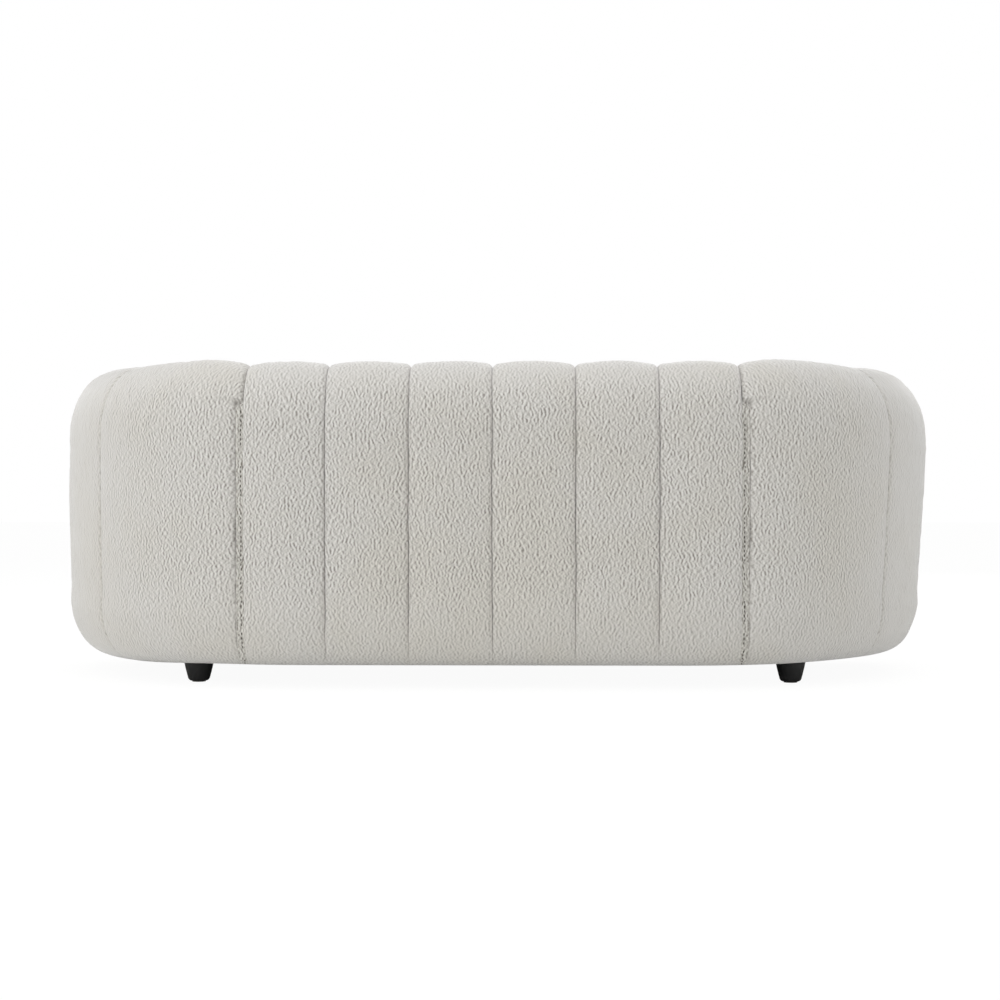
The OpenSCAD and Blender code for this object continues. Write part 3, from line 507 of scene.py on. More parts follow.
def halfProfile(faceTop, faceSeat, faceLow, topStart):
    # From the underside to the ridge: a quarter curve, a leaning face, a quarter curve. A quarter curve is
    # (cos t ^ p, sin t ^ p), a little squarer than a circle. Points are [distance from the middle, height].
    t = np.linspace(0, math.pi / 2, wall["roundPoints"])
    cosine, sine = np.maximum(np.cos(t), 0) ** wall["squareness"], np.sin(t) ** wall["squareness"]
    foot, low, reach, ridge = wall["floorGap"], wall["bottomRound"], wall["bottomReach"], wall["ridge"]
    deckHeight = wall["deckHeight"]
    under = spread(faceLow - reach + reach * cosine[::-1], foot + low - low * sine[::-1])
    over = spread(ridge + (faceTop - ridge) * cosine, topStart + (topZ - topStart) * sine)
    bends = np.array([under[-1], [(faceLow + faceSeat) / 2, deckHeight],
                      [(faceSeat + faceTop) / 2, (deckHeight + topStart) / 2], over[0]])
    runs = zip(bends[:-1], bends[1:])
    face = np.concatenate([np.linspace(a, b, wall["facePoints"])[1:] for a, b in runs])
    return np.concatenate([under, face[:-1], over])


half, lean = wall["halfThickness"], wall["halfThickness"] + wall["recline"]
outerHalf = halfProfile(half, half, half - wall["batter"], topZ - wall["topRound"])
innerHalf = halfProfile(half, lean, lean, topZ - wall["topRound"] + wall["recline"])


def outwards(path):
    # Directions square to a line, to its left, as the profiles run up the outside
    along = np.gradient(path, axis=0)
    along /= np.linalg.norm(along, axis=1, keepdims=True)
    return spread(-along[:, 1], along[:, 0])


def share(z):
    # How much of its fullness a pad has at a height: none at the underside, all above the bottom rounding
    return np.clip((z - wall["floorGap"]) / wall["bottomRound"], 0, 1)


def swell(distance, width, crown, power, hold=0.0, crease=1.0):
    # Fullness at a distance from the seam: a quarter-round roll out of the crease, and a crown
    # 1 - |1 - 2d/w|^p. Hold is the share of the crown that is left at the seam, and crease the share of the
    # crease's depth.
    roll = np.sqrt(1 - (1 - np.clip(distance / padding["roll"], 0, 1)) ** 2)
    level = 1 - np.clip(2 * distance / width, 0, 1)
    depth = (padding["crease"] + padding["pinch"]) * crease
    return padding["crease"] - depth * (1 - roll) + crown * (1 - (1 - hold) * level ** power)


def drawnIn(distance):
    # The pads draw in towards the noses: d * e^(-distance / reach)
    return padding["drawn"] * np.exp(-distance / padding["drawnOver"])


settled = dict(      # how far the filling has settled outwards or inwards, at heights, on each side
    right=[(0.05, 0.007), (0.09, 0.007), (0.14, 0.006), (0.22, 0.001), (0.60, -0.001), (0.70, -0.004),
           (0.76, -0.003)],
    left=[(0.05, -0.002), (0.08, -0.006), (0.11, -0.011), (0.20, -0.016), (0.40, -0.009), (0.56, -0.001),
          (0.64, -0.004), (0.71, -0.009), (0.76, -0.003)],
    start=0.62, over=0.35, end=0.2, inwards=0.1,
)


def settling(side, s, z):
    # Read off the heights above, eased in along the corner panel and out again before the nose
    heights, moves = np.array(settled[side]).T
    length = np.abs(s)
    ease = eased((length - settled["start"]) / settled["over"]) * eased((frontS - length) / settled["end"])
    return np.interp(z, heights, moves) * ease


def relief(u, v, seed):
    # Unevenness of the filling, a slow value noise, and the pile's larger curls, a fast one bent by a third
    wide, long = padding["lump"]
    curlWide, curlLong = padding["curl"]
    drift = ripple(u / padding["curlDrift"], v / padding["curlDrift"], seed + 3)
    return (padding["lumpHeight"] * ripple(u / wide, v / long, seed)
            + padding["curlHeight"] * ripple(u / curlWide + drift, v / curlLong, seed + 1))


def panelColumns(s0, s1, bed):
    # Stations across a panel, closer together where it rolls into its seams and over its bed
    roll, inner = np.array(padding["rollSteps"]), s1 - padding["margin"]
    start = s0 + (np.arange(0, bed + roll[-1], padding["bedStep"]) if bed else roll)
    count = max(int((inner - start[-1]) / padding["across"]), 4)
    return np.concatenate([start, np.linspace(start[-1], inner, count)[1:], (s1 - roll)[::-1]])


def wallSection():
    # Up the outer face, over the ridge and down the inner face to the platform: [distance inward, height]
    outer = spread(half - outerHalf[:, 0], outerHalf[:, 1])
    inner = innerHalf[innerHalf[:, 1] >= wall["deckHeight"]]
    inner = spread(half + inner[:, 0], inner[:, 1])[::-1]
    return softened(resample(np.concatenate([outer, inner]), padding["along"]), wall["softening"])


section = wallSection()
sectionSide = outwards(section)
sectionV = lengthAlong(section)


def seamWobble(v, seam):
    # A sewn seam wanders a little from its line
    beside = np.full_like(v, seam * padding["wobbleApart"])
    return padding["wobble"] * ripple(v / padding["wobbleLength"], beside, padding["wobbleSeed"])


def onWall(s, v, out):
    # A place on the wall: station s, length v up the section, and out from it
    inward, z = (np.interp(v, sectionV, section[:, k]) + out * np.interp(v, sectionV, sectionSide[:, k])
                 for k in (0, 1))
    return spread(*seamPoint(s, inward), z)


def jointDrift(v):
    # The joints are cut square through the back, not towards the corner's centre: how much further along the
    # wall that puts the seam, at a length up the section
    inward = np.interp(v, sectionV, section[:, 0])
    turn = np.arcsin((seamPoint(jointS, 0)[0] - straight) / (wall["cornerRadius"] - inward))
    return straight + arc * turn / (math.pi / 2) - jointS


def paintedLightOf(s, z):
    # How far the pile's painted gap shade gives way to one even, lighter tone, as painted light where the surface
    # is seen at a slant, and how far its bump flattens: round the rear corners, over the top and low down, and a
    # little on the arms
    length = np.abs(s)
    level, height, reach = padding["topPaintedLight"]
    top = level * eased((z - height) / reach)
    level, height, reach = padding["lowPaintedLight"]
    low = level * eased((height - z) / reach)
    corner = padding["paintedLightAndFlat"] * eased((length - padding["paintedLightFrom"]) / padding["paintedLightOver"])
    arm = (corner - padding["mildPaintedLight"]) * eased((length - padding["mildPaintedLightFrom"]) / padding["mildPaintedLightOver"])
    return np.maximum(np.maximum(top, low), corner - arm)


def lengthAcross(points):
    # True lengths along the wall at each height, from the panel's middle
    steps = np.linalg.norm(np.diff(points[..., :2], axis=0), axis=2)
    lengths = np.concatenate([0 * steps[:1], np.cumsum(steps, axis=0)])
    return lengths - lengths[-1:] / 2


def wallPanel(name, s0, s1, width, crown, power, seed, seams, bed=None, openEnd=False, side=None):
    # A pad from seam to seam: the wall's section, pushed out by its fullness and carried along the seam line.
    # A bed is a low strip beside the first seam: its width, the height of its top, and the height over which the
    # pad closes on it.
    s = panelColumns(s0 + wall["seamGap"] / 2, s1 - wall["seamGap"] / 2, bed[0] if bed else 0)[:, None]
    v, inward, height = sectionV[None, :], section[None, :, 0], section[None, :, 1]
    start = s - s0
    if bed:
        strip, top, fold = bed
        outside = v < sectionV[-1] / 2
        start = start - strip * ((1 - eased((height - top) / fold + 0.5)) * outside)
    nearer = np.maximum(start if openEnd else np.minimum(start, s1 - s), 0)
    corner = np.abs(s - cornerS) < width / 2
    fullness = swell(nearer, width, crown, power, np.where(corner, padding["cornerHold"], 0),
                     np.where(corner, padding["cornerCrease"], 1))
    if openEnd:
        fullness = fullness - drawnIn(s1 - s)
    part = (s - s0) / (s1 - s0)
    wander = seamWobble(v, seams[0]) * (1 - part) + (0 if openEnd else seamWobble(v, seams[1]) * part)
    for seam, weight in zip(seams, (1 - part, part)):
        if abs(seam) == jointSeam:
            wander = wander + np.sign(seam) * jointDrift(v) * weight
    u = (s0 + s1) / 2 + lengthAcross(onWall(s + wander, v, 0))
    soft = np.clip(nearer / padding["roll"], padding["seamRelief"], 1)
    out = (fullness + relief(u, v, seed) * soft) * share(height)
    if side:
        out = out + settling(side, s, height) * eased(1 - (inward - half) / settled["inwards"])
    skin = onWall(s + wander, v, out)
    cavity = np.array(wall["cavity"])
    inside = spread(*seamPoint(s, cavity[None, :, 0]), cavity[None, :, 1])
    points = np.concatenate([skin, inside], axis=1)
    pile = np.concatenate([spread(u, v), 0 * inside[..., :2]], axis=1)
    return makeMesh(name, points, tubeFaces(points), pile, paintedLightOf(s, points[..., 2]))


def makeChannels():
    width, crown, power = wall["channelWidth"], padding["channelCrown"], padding["channelPower"]
    for i in range(wall["channels"]):
        s0, seam = -jointS + i * width, i - jointSeam
        piece = wallPanel(f"backChannel{i + 1}", s0, s0 + width, width, crown, power,
                          padding["seed"] + i, (seam, seam + 1))
        upholster(piece, [f"back_channel_{i + 1}"])


widePads = dict(
    cornerPanel=dict(node="corner_panel", ends=(jointS, cornerS), seams=(3, 4), seed=31),
    sidePanel=dict(node="side_panel", ends=(cornerS, sideS), seams=(4, 5), seed=37),
    armFrontPanel=dict(node="arm_front_panel", ends=(sideS, frontS), seams=(5, 6), seed=43, openEnd=True),
)
closing = dict(
    bed=0.0165, top=dict(right=0.672, left=0.664),      # the strip's bed, and the height of its end,
    fold=dict(right=0.03, left=0.011),                  # over which the pad folds shut on it
    middle=0.0068, width=0.0195, thickness=0.0022, out=0.0006, foot=0.054, over=0.012, step=0.004,
    around=24, oval=0.6, waves=((0.0005, 0.04, 3), (0.0004, 0.011, 9)), drift=(0.0006, 0.05, 21),
    sink=0.007, sinkOver=0.016,
    stitch=(0.0013, 0.0034, 0.0011), stitchAt=-0.0028, stitchStep=0.0105, stitchEnds=(0.01, 0.02),
    stitchDrift=(0.0006, 0.009), stitchSeed=dict(left=61, right=62), worn=0.7, wornLength=0.021,
)


def makeWidePanels():
    bed = closing["bed"]
    for side in ("left", "right"):
        for label, pad in widePads.items():
            strip = (bed, closing["top"][side], closing["fold"][side]) if label == "cornerPanel" else None
            seed = pad["seed"] + (padding["leftSeed"] if side == "left" else 0)
            piece = wallPanel(f"{label}{side.title()}", *pad["ends"], wideWidth, padding["wideCrown"],
                              padding["widePower"], seed, pad["seams"], strip, pad.get("openEnd", False), side)
            toSide(piece, side)
            upholster(piece, [f"{pad['node']}_{side}"])


def resampleTogether(first, second, step):
    # Two profiles with as many points each, picked at the same shares of the first one's length
    lengths = lengthAlong(first)
    places = np.linspace(0, lengths[-1], int(lengths[-1] / step) + 1)
    return [softened(pick(path, lengths, places), wall["softening"]) for path in (first, second)]


nose = dict(leads=(0.0002, 0.0012, 0.0026, 0.0045, 0.007, 0.011, 0.0155), fade=0.05, tipPile=0.008, seed=40)


def armNose(side):
    # The wall's end: its half profile swept through a half turn, from the outer face to the inner one. Its
    # fullness is the pad's at the length swept, and towards the tip the pad's at the wall's end.
    lead, reach, leads = wall["lead"], wall["frontPanel"], np.array(nose["leads"])
    turns = np.linspace(0, math.pi, int(noseRadius * math.pi / padding["across"]))
    angle = np.concatenate([0 * leads, turns, 0 * leads + math.pi])[:, None]
    back = np.concatenate([lead - leads, 0 * turns, (lead - leads)[::-1]])[:, None]
    outer, inner = resampleTogether(outerHalf, innerHalf, padding["along"])
    blend = ((1 - np.cos(angle)) / 2)[..., None]
    profile = outer * (1 - blend) + inner * blend
    direction = -outwards(outer) * (1 - blend) - outwards(inner) * blend
    distance, height = profile[..., 0], profile[..., 1]
    v = lengthAlong(outer)[None, :]
    u = sideS + reach + lead + noseRadius * math.pi / 2 + (angle - math.pi / 2) * np.minimum(distance, noseRadius)
    u = u + back * np.sign(angle - math.pi / 2)
    edge = reach + (lead - back)
    swept = edge + noseRadius * np.minimum(angle, math.pi - angle)
    pad, tip = (swell(length, wideWidth, padding["wideCrown"], padding["widePower"]) - drawnIn(lead - back)
                for length in (swept, edge))
    fade = np.clip(distance / nose["fade"], 0, 1)
    out = ((pad + relief(u, v, nose["seed"])) * fade + tip * (1 - fade)) * share(height)
    across, up = distance + direction[..., 0] * out, height + direction[..., 1] * out
    skin = spread(noseX + across * np.cos(angle), noseY + back - across * np.sin(angle), up)
    points = np.concatenate([skin, spread(noseX, noseY + back, topZ + tip)], axis=1)
    pile = spread(u, v)
    pile = np.concatenate([pile, pile[:, -1:] + [0, nose["tipPile"]]], axis=1)
    rows, columns = points.shape[:2]
    under = (np.arange(rows) * columns)[None, ::-1]
    rear = np.concatenate([np.arange(columns), (rows - 1) * columns + np.arange(columns)[::-1]])[None, :]
    faces = [gridFaces(rows, columns), under, rear]
    piece = makeMesh(f"armNose{side.title()}", points, faces, pile, paintedLightOf(frontS, points[..., 2]))
    weld(piece)
    toSide(piece, side)
    upholster(piece, [f"arm_nose_{side}"])


def closingStrip(side):
    # The cloth that closes the joint: a flat oval ring, (cos t ^ p, sin t), carried up the section, in its bed
    # beside the seam, and sunk at its top
    face = len(section) // 2
    ends = (closing["foot"], closing["top"][side] + closing["over"])
    low, high = np.interp(ends, section[:face, 1], sectionV[:face])
    v = np.arange(low, high, closing["step"])[:, None]
    around = np.linspace(0, 2 * math.pi, closing["around"], endpoint=False)[None, :]
    across = closing["width"] / 2 * np.sign(np.cos(around)) * np.abs(np.cos(around)) ** closing["oval"]
    thick = closing["thickness"] / 2 * np.sin(around)
    wavy = sum(wave * ripple(v / length, 0 * v, seed) for wave, length, seed in closing["waves"])
    drift, length, seed = closing["drift"]
    s = jointS + jointDrift(v) + closing["middle"] + across + drift * ripple(v / length, 0 * v, seed)
    sink = closing["sink"] * eased((v - high) / closing["sinkOver"] + 1)
    points = onWall(s, v, closing["out"] + thick + wavy - sink)
    piece = makeMesh(f"closingStrip{side.title()}", points, tubeFaces(points), spread(across, v))
    toSide(piece, side)
    # Its pile is the darker copy of the sherpa, painted shade for the strip in its bed
    dress(piece, "shadedFlapCloth", stands=[f"closing_flap_{side}"])
    return low, high


def closingStitches(side, low, high):
    # One row of hand stitches: small eggs, (cos a cos b, sin a, cos a sin b), repeated up the strip
    wide, long, deep = closing["stitch"]
    tilt = np.linspace(-math.pi / 2, math.pi / 2, 5)[:, None]
    ring = np.linspace(0, 2 * math.pi, 6, endpoint=False)[None, :]
    egg = spread(wide * np.cos(tilt) * np.cos(ring), long * np.sin(tilt), deep * np.cos(tilt) * np.sin(ring))
    first, last = closing["stitchEnds"]
    places = np.arange(low + first, high - last, closing["stitchStep"])
    seed = closing["stitchSeed"][side]
    places = places[ripple(places / closing["wornLength"], 0 * places, seed) > 1 - 2 * closing["worn"]]
    drift, length = closing["stitchDrift"]
    drift = (drift * ripple(places / length, 0 * places, seed + 5))[:, None, None]
    v = places[:, None, None] + egg[..., 1]
    s = jointS + jointDrift(v) + closing["middle"] + closing["stitchAt"] + drift + egg[..., 0]
    points = onWall(s, v, closing["out"] + closing["thickness"] / 2 + egg[..., 2])
    count, rows, columns = points.shape[:3]
    one = gridFaces(rows, columns, True)
    faces = (one[None] + (np.arange(count) * rows * columns)[:, None, None]).reshape(-1, 4)
    piece = makeMesh(f"closingStitches{side.title()}", points, [faces])
    weld(piece)
    toSide(piece, side)
    # Their dark colour is partly painted shade, for the pits where the stitches pull into the pile
    dress(piece, "threadAndPitShade")


def makeClosings():
    for side in ("left", "right"):
        low, high = closingStrip(side)
        closingStitches(side, low, high)


# The border under the seat, between the arms
border = dict(
    thickness=0.02, bottomRound=0.034, topRound=0.016, roundPoints=14, wrap=0.016, under=0.0177,
    crown=0.014, crownShares=(0.55, 0.45), power=3, rolled=0.009, rollOver=0.03, gap=0.0002,
    rollSteps=(0, 0.001, 0.0025, 0.0045, 0.007, 0.011, 0.016), margin=0.02, step=0.0045, seed=77,
)


def makeBorder():
    # Its outline in Y and Z, with a weight for how far each point swells forward, carried along X. It swells by
    # crown * (a + b (1 - |h|^p)) with h from -1 to 1 up its height, and rolls back at both ends.
    low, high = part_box("front_border")
    front, bottom, top, wrap = low.y + border["crown"], low.z, high.z, border["wrap"]
    back, under = front + border["thickness"], bottom + border["under"]
    t = np.linspace(0, math.pi / 2, border["roundPoints"])
    r1, r2 = border["bottomRound"], border["topRound"]
    lower = spread(front + r1 - r1 * np.sin(t), bottom + r1 - r1 * np.cos(t), np.sin(t))
    upper = spread(front + r2 - r2 * np.cos(t), top - r2 + r2 * np.sin(t), np.cos(t))
    path = np.concatenate([[[back + wrap, bottom, 0]], lower, upper, [[back, top, 0]]])
    path = np.concatenate([resample(path, border["step"]), [[back, under, 0], [back + wrap, under, 0]]])
    y, z, weight = path.T[:, None]
    reach, roll = high.x - border["gap"], np.array(border["rollSteps"])
    inner = reach - border["margin"]
    middle = np.linspace(-inner, inner, int(2 * reach / border["step"]))
    x = np.concatenate([roll - reach, middle, (reach - roll)[::-1]])[:, None]
    v = lengthAlong(path[:, :2])[None, :]
    ease = np.sqrt(1 - (1 - np.clip((reach - np.abs(x)) / border["rollOver"], 0, 1)) ** 2)
    level = np.abs(2 * (z - bottom) / (top - bottom) - 1)
    even, full = border["crownShares"]
    fullness = border["crown"] * ease * (even + full * (1 - level ** border["power"]))
    swollen = (fullness - border["rolled"] * (1 - ease) + relief(x, v, border["seed"])) * weight
    points = spread(x, y - swollen, z)
    piece = makeMesh("frontBorder", points, tubeFaces(points), spread(x, v), padding["mildPaintedLight"])
    upholster(piece, ["front_border"])


returned = dict(
    front=-0.4065, rear=-0.345, back=-0.2965, start=0.8156, end=0.902, step=0.0025, slope=0.02,
    tuck=0.02, foot=0.002, lowShare=0.8, around=32, twist=0.01, square=0.3, face=-0.5, seed=91,
)


def makeReturns():
    # The cloth over the ends of the front rails, which runs back and up into the rounding of the arm's nose:
    # rounded blocks, (cos t ^ p, sin t ^ p), carried along X, whose tops follow the height at which the nose
    # reaches that far inwards
    x = np.arange(returned["start"], returned["end"], returned["step"])[:, None]
    part = (x - returned["start"]) / returned["slope"]
    low = innerHalf[innerHalf[:, 1] < wall["deckHeight"] * returned["lowShare"]]
    reached = noseX - low[:, 0] - wideFull * share(low[:, 1])
    top = (wall["deckHeight"] - returned["foot"]) * (1 - eased(part))
    top = top + (np.interp(-x, -reached, low[:, 1]) + returned["tuck"]) * eased(part)
    foot, back = wall["floorGap"] + returned["foot"], returned["back"]
    front = returned["front"] + (returned["rear"] - returned["front"]) * np.clip(part, 0, 1)
    turn = np.linspace(0, 2 * math.pi, returned["around"], endpoint=False) + returned["twist"]
    cosine, sine = (np.sign(wave) * np.abs(wave) ** returned["square"] for wave in (np.cos(turn), np.sin(turn)))
    y = (front + back) / 2 + (back - front) / 2 * cosine
    z = (foot + top) / 2 + (top - foot) / 2 * sine
    y = y + relief(x, z, returned["seed"]) * (cosine < returned["face"])
    for side, sign in (("left", -1), ("right", 1)):
        points, name = spread(sign * x, y, z), f"borderReturn{side.title()}"
        upholster(makeMesh(name, points, tubeFaces(z), spread(x, z), padding["mildPaintedLight"]))


# The platform under the cushions
deck = dict(
    depth=0.155, wallPoints=260, inset=0.001, gap=0.0003, step=0.012, round=0.007, rings=46,
    dip=0.0006, dipSize=(0.07, 0.09), dipShare=0.9, seed=5,
)


def makeDeck():
    # Its plan follows the wall inside, then the arms' inner faces to the front rail. Its edge is a quarter round,
    # and rings step in to the middle, dimpled by a value noise.
    low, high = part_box("deck_pad")
    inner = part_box("front_border")[1].x
    reach = frontS - deck["inset"]
    rear = spread(*seamPoint(np.linspace(-reach, reach, deck["wallPoints"]), deck["depth"]))
    arms = noseY + wall["lead"] + deck["gap"]
    front = [[inner, arms], [inner, low.y], [-inner, low.y], [-inner, arms]]
    plan = resample(np.concatenate([rear, front, rear[:1]]), deck["step"])[:-1]
    middle = plan.mean(axis=0)
    side = np.roll(plan, -1, axis=0) - np.roll(plan, 1, axis=0)
    side = spread(-side[:, 1], side[:, 0]) / np.linalg.norm(side, axis=1, keepdims=True)
    if ((middle - plan) * side).sum() < 0:
        side = -side
    turn = np.linspace(0, math.pi / 2, 5)[:, None]
    r = deck["round"]
    edge = plan + side * r * (1 - np.cos(turn))[..., None]
    shares = np.linspace(1, 0, deck["rings"])[1:, None]
    flat = middle + (edge[-1] - middle) * shares[..., None]
    wide, long = deck["dipSize"]
    dimples = 1 + ripple(flat[..., 0] / wide, flat[..., 1] / long, deck["seed"])
    dip = deck["dip"] * dimples * (1 - shares * deck["dipShare"])
    layers = np.concatenate([plan[None], edge, flat])
    heights = [low.z + 0 * plan[None, :, 0], high.z - r + r * np.sin(turn) + 0 * plan[:, 0], high.z - dip]
    points = np.concatenate([layers, np.concatenate(heights)[..., None]], axis=-1)
    grid, base = tubeFaces(points)[:2]
    piece = makeMesh("deckPad", points, [grid, base], layers)
    weld(piece)
    upholster(piece, ["deck_pad"], "sofa", "deckCloth")


# Seat cushions: a boxed cover of sewn panels round a foam core, blown up by a cloth simulation, then seamed
cushion = dict(
    inset=0.009, lift=0.003, rim=0.142, crown=0.012, sag=-0.0005, power=2.6,
    corner=0.045, outerCorner=0.385, cornerPoints=25, over=0.03, under=0.022, turns=5,
    across=58, along=66, side=0.0085, pressure=4.0, frames=20, quality=5, cap=0.012, pulled=0.3,
    seamStep=0.0035, seamDepth=0.0042, skew=0.7, seed=80, slot=(0.0026, 0.006, 0.004), slotHeight=0.01,
    lowest=(0.0004, -0.002, 0.0003), highest=(-0.0004, 0, 0.002),      # from the corners of the CAD cover's box
    core=dict(inset=0.036, lift=0.008, top=0.128, edge=0.034, turns=7, spare=0.01),
)


def planOutline(low, high, radii, inset):
    # A rectangle with a radius of its own at each corner, moved in evenly
    corners = [(high[0], low[1], -90), (high[0], high[1], 0), (low[0], high[1], 90), (low[0], low[1], 180)]
    points = []
    for (x, y, start), radius in zip(corners, radii):
        turn = np.radians(start + np.linspace(0, 90, cushion["cornerPoints"]))
        cx = x - radius if x == high[0] else x + radius
        cy = y - radius if y == high[1] else y + radius
        points.append(spread(cx + (radius - inset) * np.cos(turn), cy + (radius - inset) * np.sin(turn)))
    return np.concatenate(points)


def planSides(low, high, radii, inset):
    # The outline cut in four at the middles of its corners: right side, rear, left side, front
    count = cushion["cornerPoints"]
    turned = np.roll(planOutline(low, high, radii, inset), -(count // 2), axis=0)
    turned = np.concatenate([turned, turned[:1]])
    steps = 2 * (cushion["along"], cushion["across"])
    return [evenly(turned[count * k:count * (k + 1) + 1], steps[k]) for k in range(4)]


def coons(sides):
    # A patch between four sides: the two blends of opposite sides, less the blend of the corners
    right, rear, left, front = sides
    rear, left = rear[::-1], left[::-1]
    u = np.linspace(0, 1, len(front))[None, :, None]
    v = np.linspace(0, 1, len(right))[:, None, None]
    corners = (1 - u) * (1 - v) * front[0] + u * (1 - v) * front[-1] + (1 - u) * v * rear[0] + u * v * rear[-1]
    return (1 - v) * front + v * rear + (1 - u) * left[:, None] + u * right[:, None] - corners


def panelCrown(rows, columns):
    # Full in the middle, (1 - |u|^p)(1 - |v|^p) with u and v from -1 to 1
    u, v = np.linspace(-1, 1, columns)[None, :], np.linspace(-1, 1, rows)[:, None]
    return (1 - np.abs(u) ** cushion["power"]) * (1 - np.abs(v) ** cushion["power"])


def cushionProfile(low):
    # Insets, heights and seam weights, from the lower panel's rim up the boxing to the upper panel's rim
    over, under, inset, step = cushion["over"], cushion["under"], cushion["inset"], cushion["seamStep"]
    bottom, top = low.z + cushion["lift"], low.z + cushion["rim"]
    turn = np.linspace(0, math.pi / 2, cushion["turns"])
    rise, draw = 1 - np.cos(turn), 1 - np.sin(turn)
    lower = spread(inset + under * draw, bottom + under * rise, 0)
    upper = spread(inset + over * rise, top - over * draw, 0)
    first, last = lower[-1, 1] + step, upper[0, 1] - step
    sides = np.linspace(first + step, last - step, int((last - first) / cushion["side"]))
    return np.concatenate([lower, [[inset, first, 1]], spread(inset, sides, 0), [[inset, last, 1]], upper])


def cushionMesh(name, low, high, radii):
    # Rings up the profile, closed by a crowned patch above and a nearly flat one below, with the seams' weights
    profile = cushionProfile(low)
    rings = []
    for inset, height, _ in profile:
        ring = np.concatenate([side[:-1] for side in planSides(low, high, radii, inset)])
        rings.append(spread(*np.concatenate([ring, ring[:1]]).T, height))
    rings = np.array(rings)
    rows, columns = rings.shape[:2]
    pile = np.stack(np.meshgrid(lengthAlong(rings[rows // 2]), lengthAlong(profile[:, :2])), axis=-1)
    points, faces, piles = [rings.reshape(-1, 3)], [gridFaces(rows, columns)], [pile.reshape(-1, 2)]
    for (inset, height, _), rise in ((profile[0], cushion["sag"]), (profile[-1], cushion["crown"])):
        patch = coons(planSides(low, high, radii, inset))
        face = gridFaces(*patch.shape[:2])
        faces.append((face if rise > 0 else face[:, ::-1]) + sum(len(part) for part in points))
        level = height + rise * panelCrown(*patch.shape[:2])
        points.append(spread(*np.moveaxis(patch, -1, 0), level).reshape(-1, 3))
        piles.append(patch.reshape(-1, 2))
    points = np.concatenate(points)
    piece = makeMesh(name, points, faces, np.concatenate(piles), padding["mildPaintedLight"])
    seams = np.zeros(len(points))
    seams[:rows * columns] = np.repeat(profile[:, 2], columns)
    setLevel(piece.data, "seam", seams)
    weld(piece)
    return piece


def applied(piece):
    # The mesh with its modifiers worked in
    graph = bpy.context.evaluated_depsgraph_get()
    mesh = bpy.data.meshes.new_from_object(piece.evaluated_get(graph), depsgraph=graph)
    piece.modifiers.clear()
    piece.data = mesh


def inflate(piece):
    # Blown up with gravity off, no point moving further than the cap; what would shrink the cover counts for less
    scene = bpy.context.scene
    before = read(piece.data.vertices, "co", 3)
    middle = (before.min(axis=0) + before.max(axis=0)) / 2
    cloth = piece.modifiers.new("cloth", "CLOTH")
    cloth.settings.use_pressure = True
    cloth.settings.uniform_pressure_force = cushion["pressure"]
    cloth.settings.effector_weights.gravity = 0
    cloth.settings.quality = cushion["quality"]
    cloth.point_cache.frame_start, cloth.point_cache.frame_end = 1, cushion["frames"]
    for step in range(1, cushion["frames"] + 1):
        scene.frame_set(step)
    applied(piece)
    scene.frame_set(1)
    moved = read(piece.data.vertices, "co", 3) - before
    moved = moved * np.where(moved * (before - middle) < 0, cushion["pulled"], 1)
    length = np.linalg.norm(moved, axis=1, keepdims=True)
    setPlaces(piece.data, before + moved * np.minimum(1, cushion["cap"] / np.maximum(length, 1e-9)))
    finer = piece.modifiers.new("finer", "SUBSURF")
    finer.levels = finer.render_levels = 1
    applied(piece)


def makeCore(side, low, high, radii):
    # The foam inside, cut with quarter-round edges
    core = cushion["core"]
    turn = np.linspace(0, math.pi / 2, core["turns"])
    e, bottom, top = core["edge"], low.z + core["lift"], low.z + core["top"]
    rise, draw = e * (1 - np.cos(turn)), e * (1 - np.sin(turn))
    insets = core["inset"] + np.concatenate([draw, draw[::-1]])
    heights = np.concatenate([bottom + rise, (top - rise)[::-1]])
    radii = [max(radius, core["inset"] + e + core["spare"]) for radius in radii]
    rings = [spread(*planOutline(low, high, radii, inset).T, z) for inset, z in zip(insets, heights)]
    piece = makeMesh(f"foamCore{side.title()}", np.array(rings), tubeFaces(rings))
    upholster(piece, [f"cushion_core_{side}"], f"cushion_{side}", "foam")


def makeCushion(side):
    # After the simulation, the seams are pressed in, the larger curls raised and a slot let in round the zip
    low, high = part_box(f"cushion_cover_{side}")
    c, big = cushion["corner"], cushion["outerCorner"]
    radii = dict(left=(c, c, big, c), center=(c, c, c, c), right=(c, big, c, c))[side]
    makeCore(side, low, high, radii)
    piece = cushionMesh(f"seatCushion{side.title()}", low, high, radii)
    inflate(piece)
    mesh = piece.data
    spots, normals = read(mesh.vertices, "co", 3), read(mesh.vertices, "normal", 3)
    seams = read(mesh.attributes["seam"].data, "value")
    u, v = (spots[:, :2] + cushion["skew"] * spots[:, 2:]).T
    curls = relief(u, v, cushion["seed"] + len(side))[:, None]
    spots += normals * (curls * (1 - seams) - cushion["seamDepth"] * seams)
    spots = np.clip(spots, np.add(low, cushion["lowest"]), np.add(high, cushion["highest"]))
    near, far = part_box(f"cushion_zip_{side}")
    depth, reach, ease = cushion["slot"]
    along = eased((spots[:, 0] - near.x) / ease + 1) * eased((far.x - spots[:, 0]) / ease + 1)
    across = np.exp(-((spots[:, 1] - (near.y + far.y) / 2) / reach) ** 4)
    spots[:, 2] += depth * along * across * (spots[:, 2] < low.z + cushion["slotHeight"])
    setPlaces(mesh, spots)
    mesh.shade_smooth()
    mesh.update()
    upholster(piece, [f"cushion_cover_{side}"], f"cushion_{side}")


# What stays as the CAD made it gets its own finish
finishes = dict(
    foam="foam", zip="zip", beech="beech", plywood="plywood", board="board", webbing="webbing", steel="steel",
    clip_metal="clip", dust_cloth="dustCloth", black_feet="foot", felt="felt",
)


def finishNodes():
    slots = {part["node"]: part["material_slot"] for part in frame["record"]["subparts"]}
    for name, node in nodes.items():
        if not node.hide_render:
            node.data.materials.clear()
            node.data.materials.append(materials[finishes[slots[name]]])


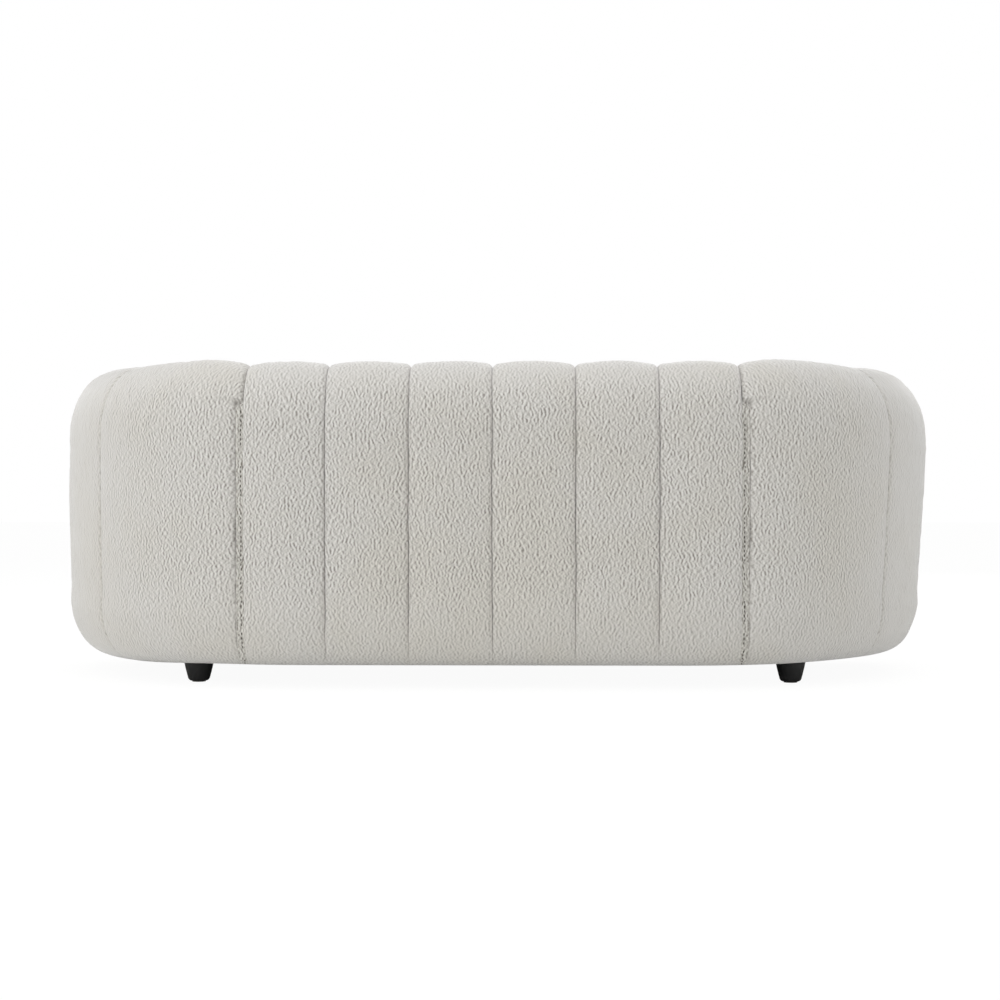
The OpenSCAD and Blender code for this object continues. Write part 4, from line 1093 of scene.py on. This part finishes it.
# Studio: a pale floor, a white surround that only the camera sees, and four soft lamps
studio = dict(
    ambient=0.52, floor=(249, 249, 247), floorReach=30, floorWhite=0.93, floorGlow=1.02, aim=(0, 0, 0.4),
    lamps=dict(
        key=dict(place=(4.4, 3.6, 1.8), size=2.4, power=86),
        fill=dict(place=(-4.4, 3.2, 1.0), size=2.6, power=38),
        front=dict(place=(-1.5, -5.0, 3.2), size=3.4, power=100),
        top=dict(place=(0.3, 0.8, 4.4), size=3.4, power=82),
    ),
)


def makeSurround(scene):
    # White to the camera and in reflections, dimmer as a light
    world = bpy.data.worlds.new("studio")
    scene.world = world
    world.use_nodes = True
    sky = Graph(world.node_tree)
    rays = [sky.add("LightPath", output=f"Is {kind} Ray") for kind in ("Camera", "Glossy")]
    strength = sky.add("MapRange", {"Value": sky.math("MAXIMUM", *rays), "To Min": studio["ambient"]})
    white = sky.add("Background", {"Color": (1, 1, 1, 1), "Strength": strength})
    output = sky.tree.nodes.new("ShaderNodeOutputWorld")
    sky.plug(output.inputs[0], white)


def makeLamps(scene):
    for name, lamp in studio["lamps"].items():
        data = bpy.data.lights.new(name, "AREA")
        data.size, data.energy = lamp["size"], lamp["power"]
        light = bpy.data.objects.new(name, data)
        scene.collection.objects.link(light)
        light.location = lamp["place"]
        aim = np.subtract(studio["aim"], lamp["place"])
        down = math.pi - math.acos(aim[2] / np.linalg.norm(aim))
        light.rotation_euler = (down, 0, math.atan2(aim[1], aim[0]) - math.pi / 2)


def makeFloor(scene):
    # Pale and matt to the light, nearly white to the camera
    far = studio["floorReach"]
    mesh = bpy.data.meshes.new("floor")
    mesh.from_pydata([(-far, -far, 0), (far, -far, 0), (far, far, 0), (-far, far, 0)], [], [(0, 1, 2, 3)])
    floor = bpy.data.objects.new("floor", mesh)
    scene.collection.objects.link(floor)
    pale = Recipe("paleFloor", Roughness=0.8, Base_Color=tint(*studio["floor"]))
    white = pale.add("Emission", {"Strength": studio["floorGlow"]})
    camera = pale.add("LightPath") * studio["floorWhite"]
    matt = Wire(pale, pale.shader.outputs[0])
    pale.plug(pale.output.inputs[0], pale.add("MixShader", {0: camera, 1: matt, 2: white}))
    mesh.materials.append(pale.material)


def makeStudio():
    scene = bpy.context.scene
    scene.view_settings.view_transform = "Standard"
    makeSurround(scene)
    makeLamps(scene)
    makeFloor(scene)


makeCamera()
makeChannels()
makeWidePanels()
for side in ("left", "right"):
    armNose(side)
print("wall padded")
makeClosings()
makeBorder()
makeReturns()
makeDeck()
print("strips, border and platform made")
for side in ("left", "center", "right"):
    makeCushion(side)
    print("cushion made:", side)
finishNodes()
makeStudio()
print("sofa dressed")
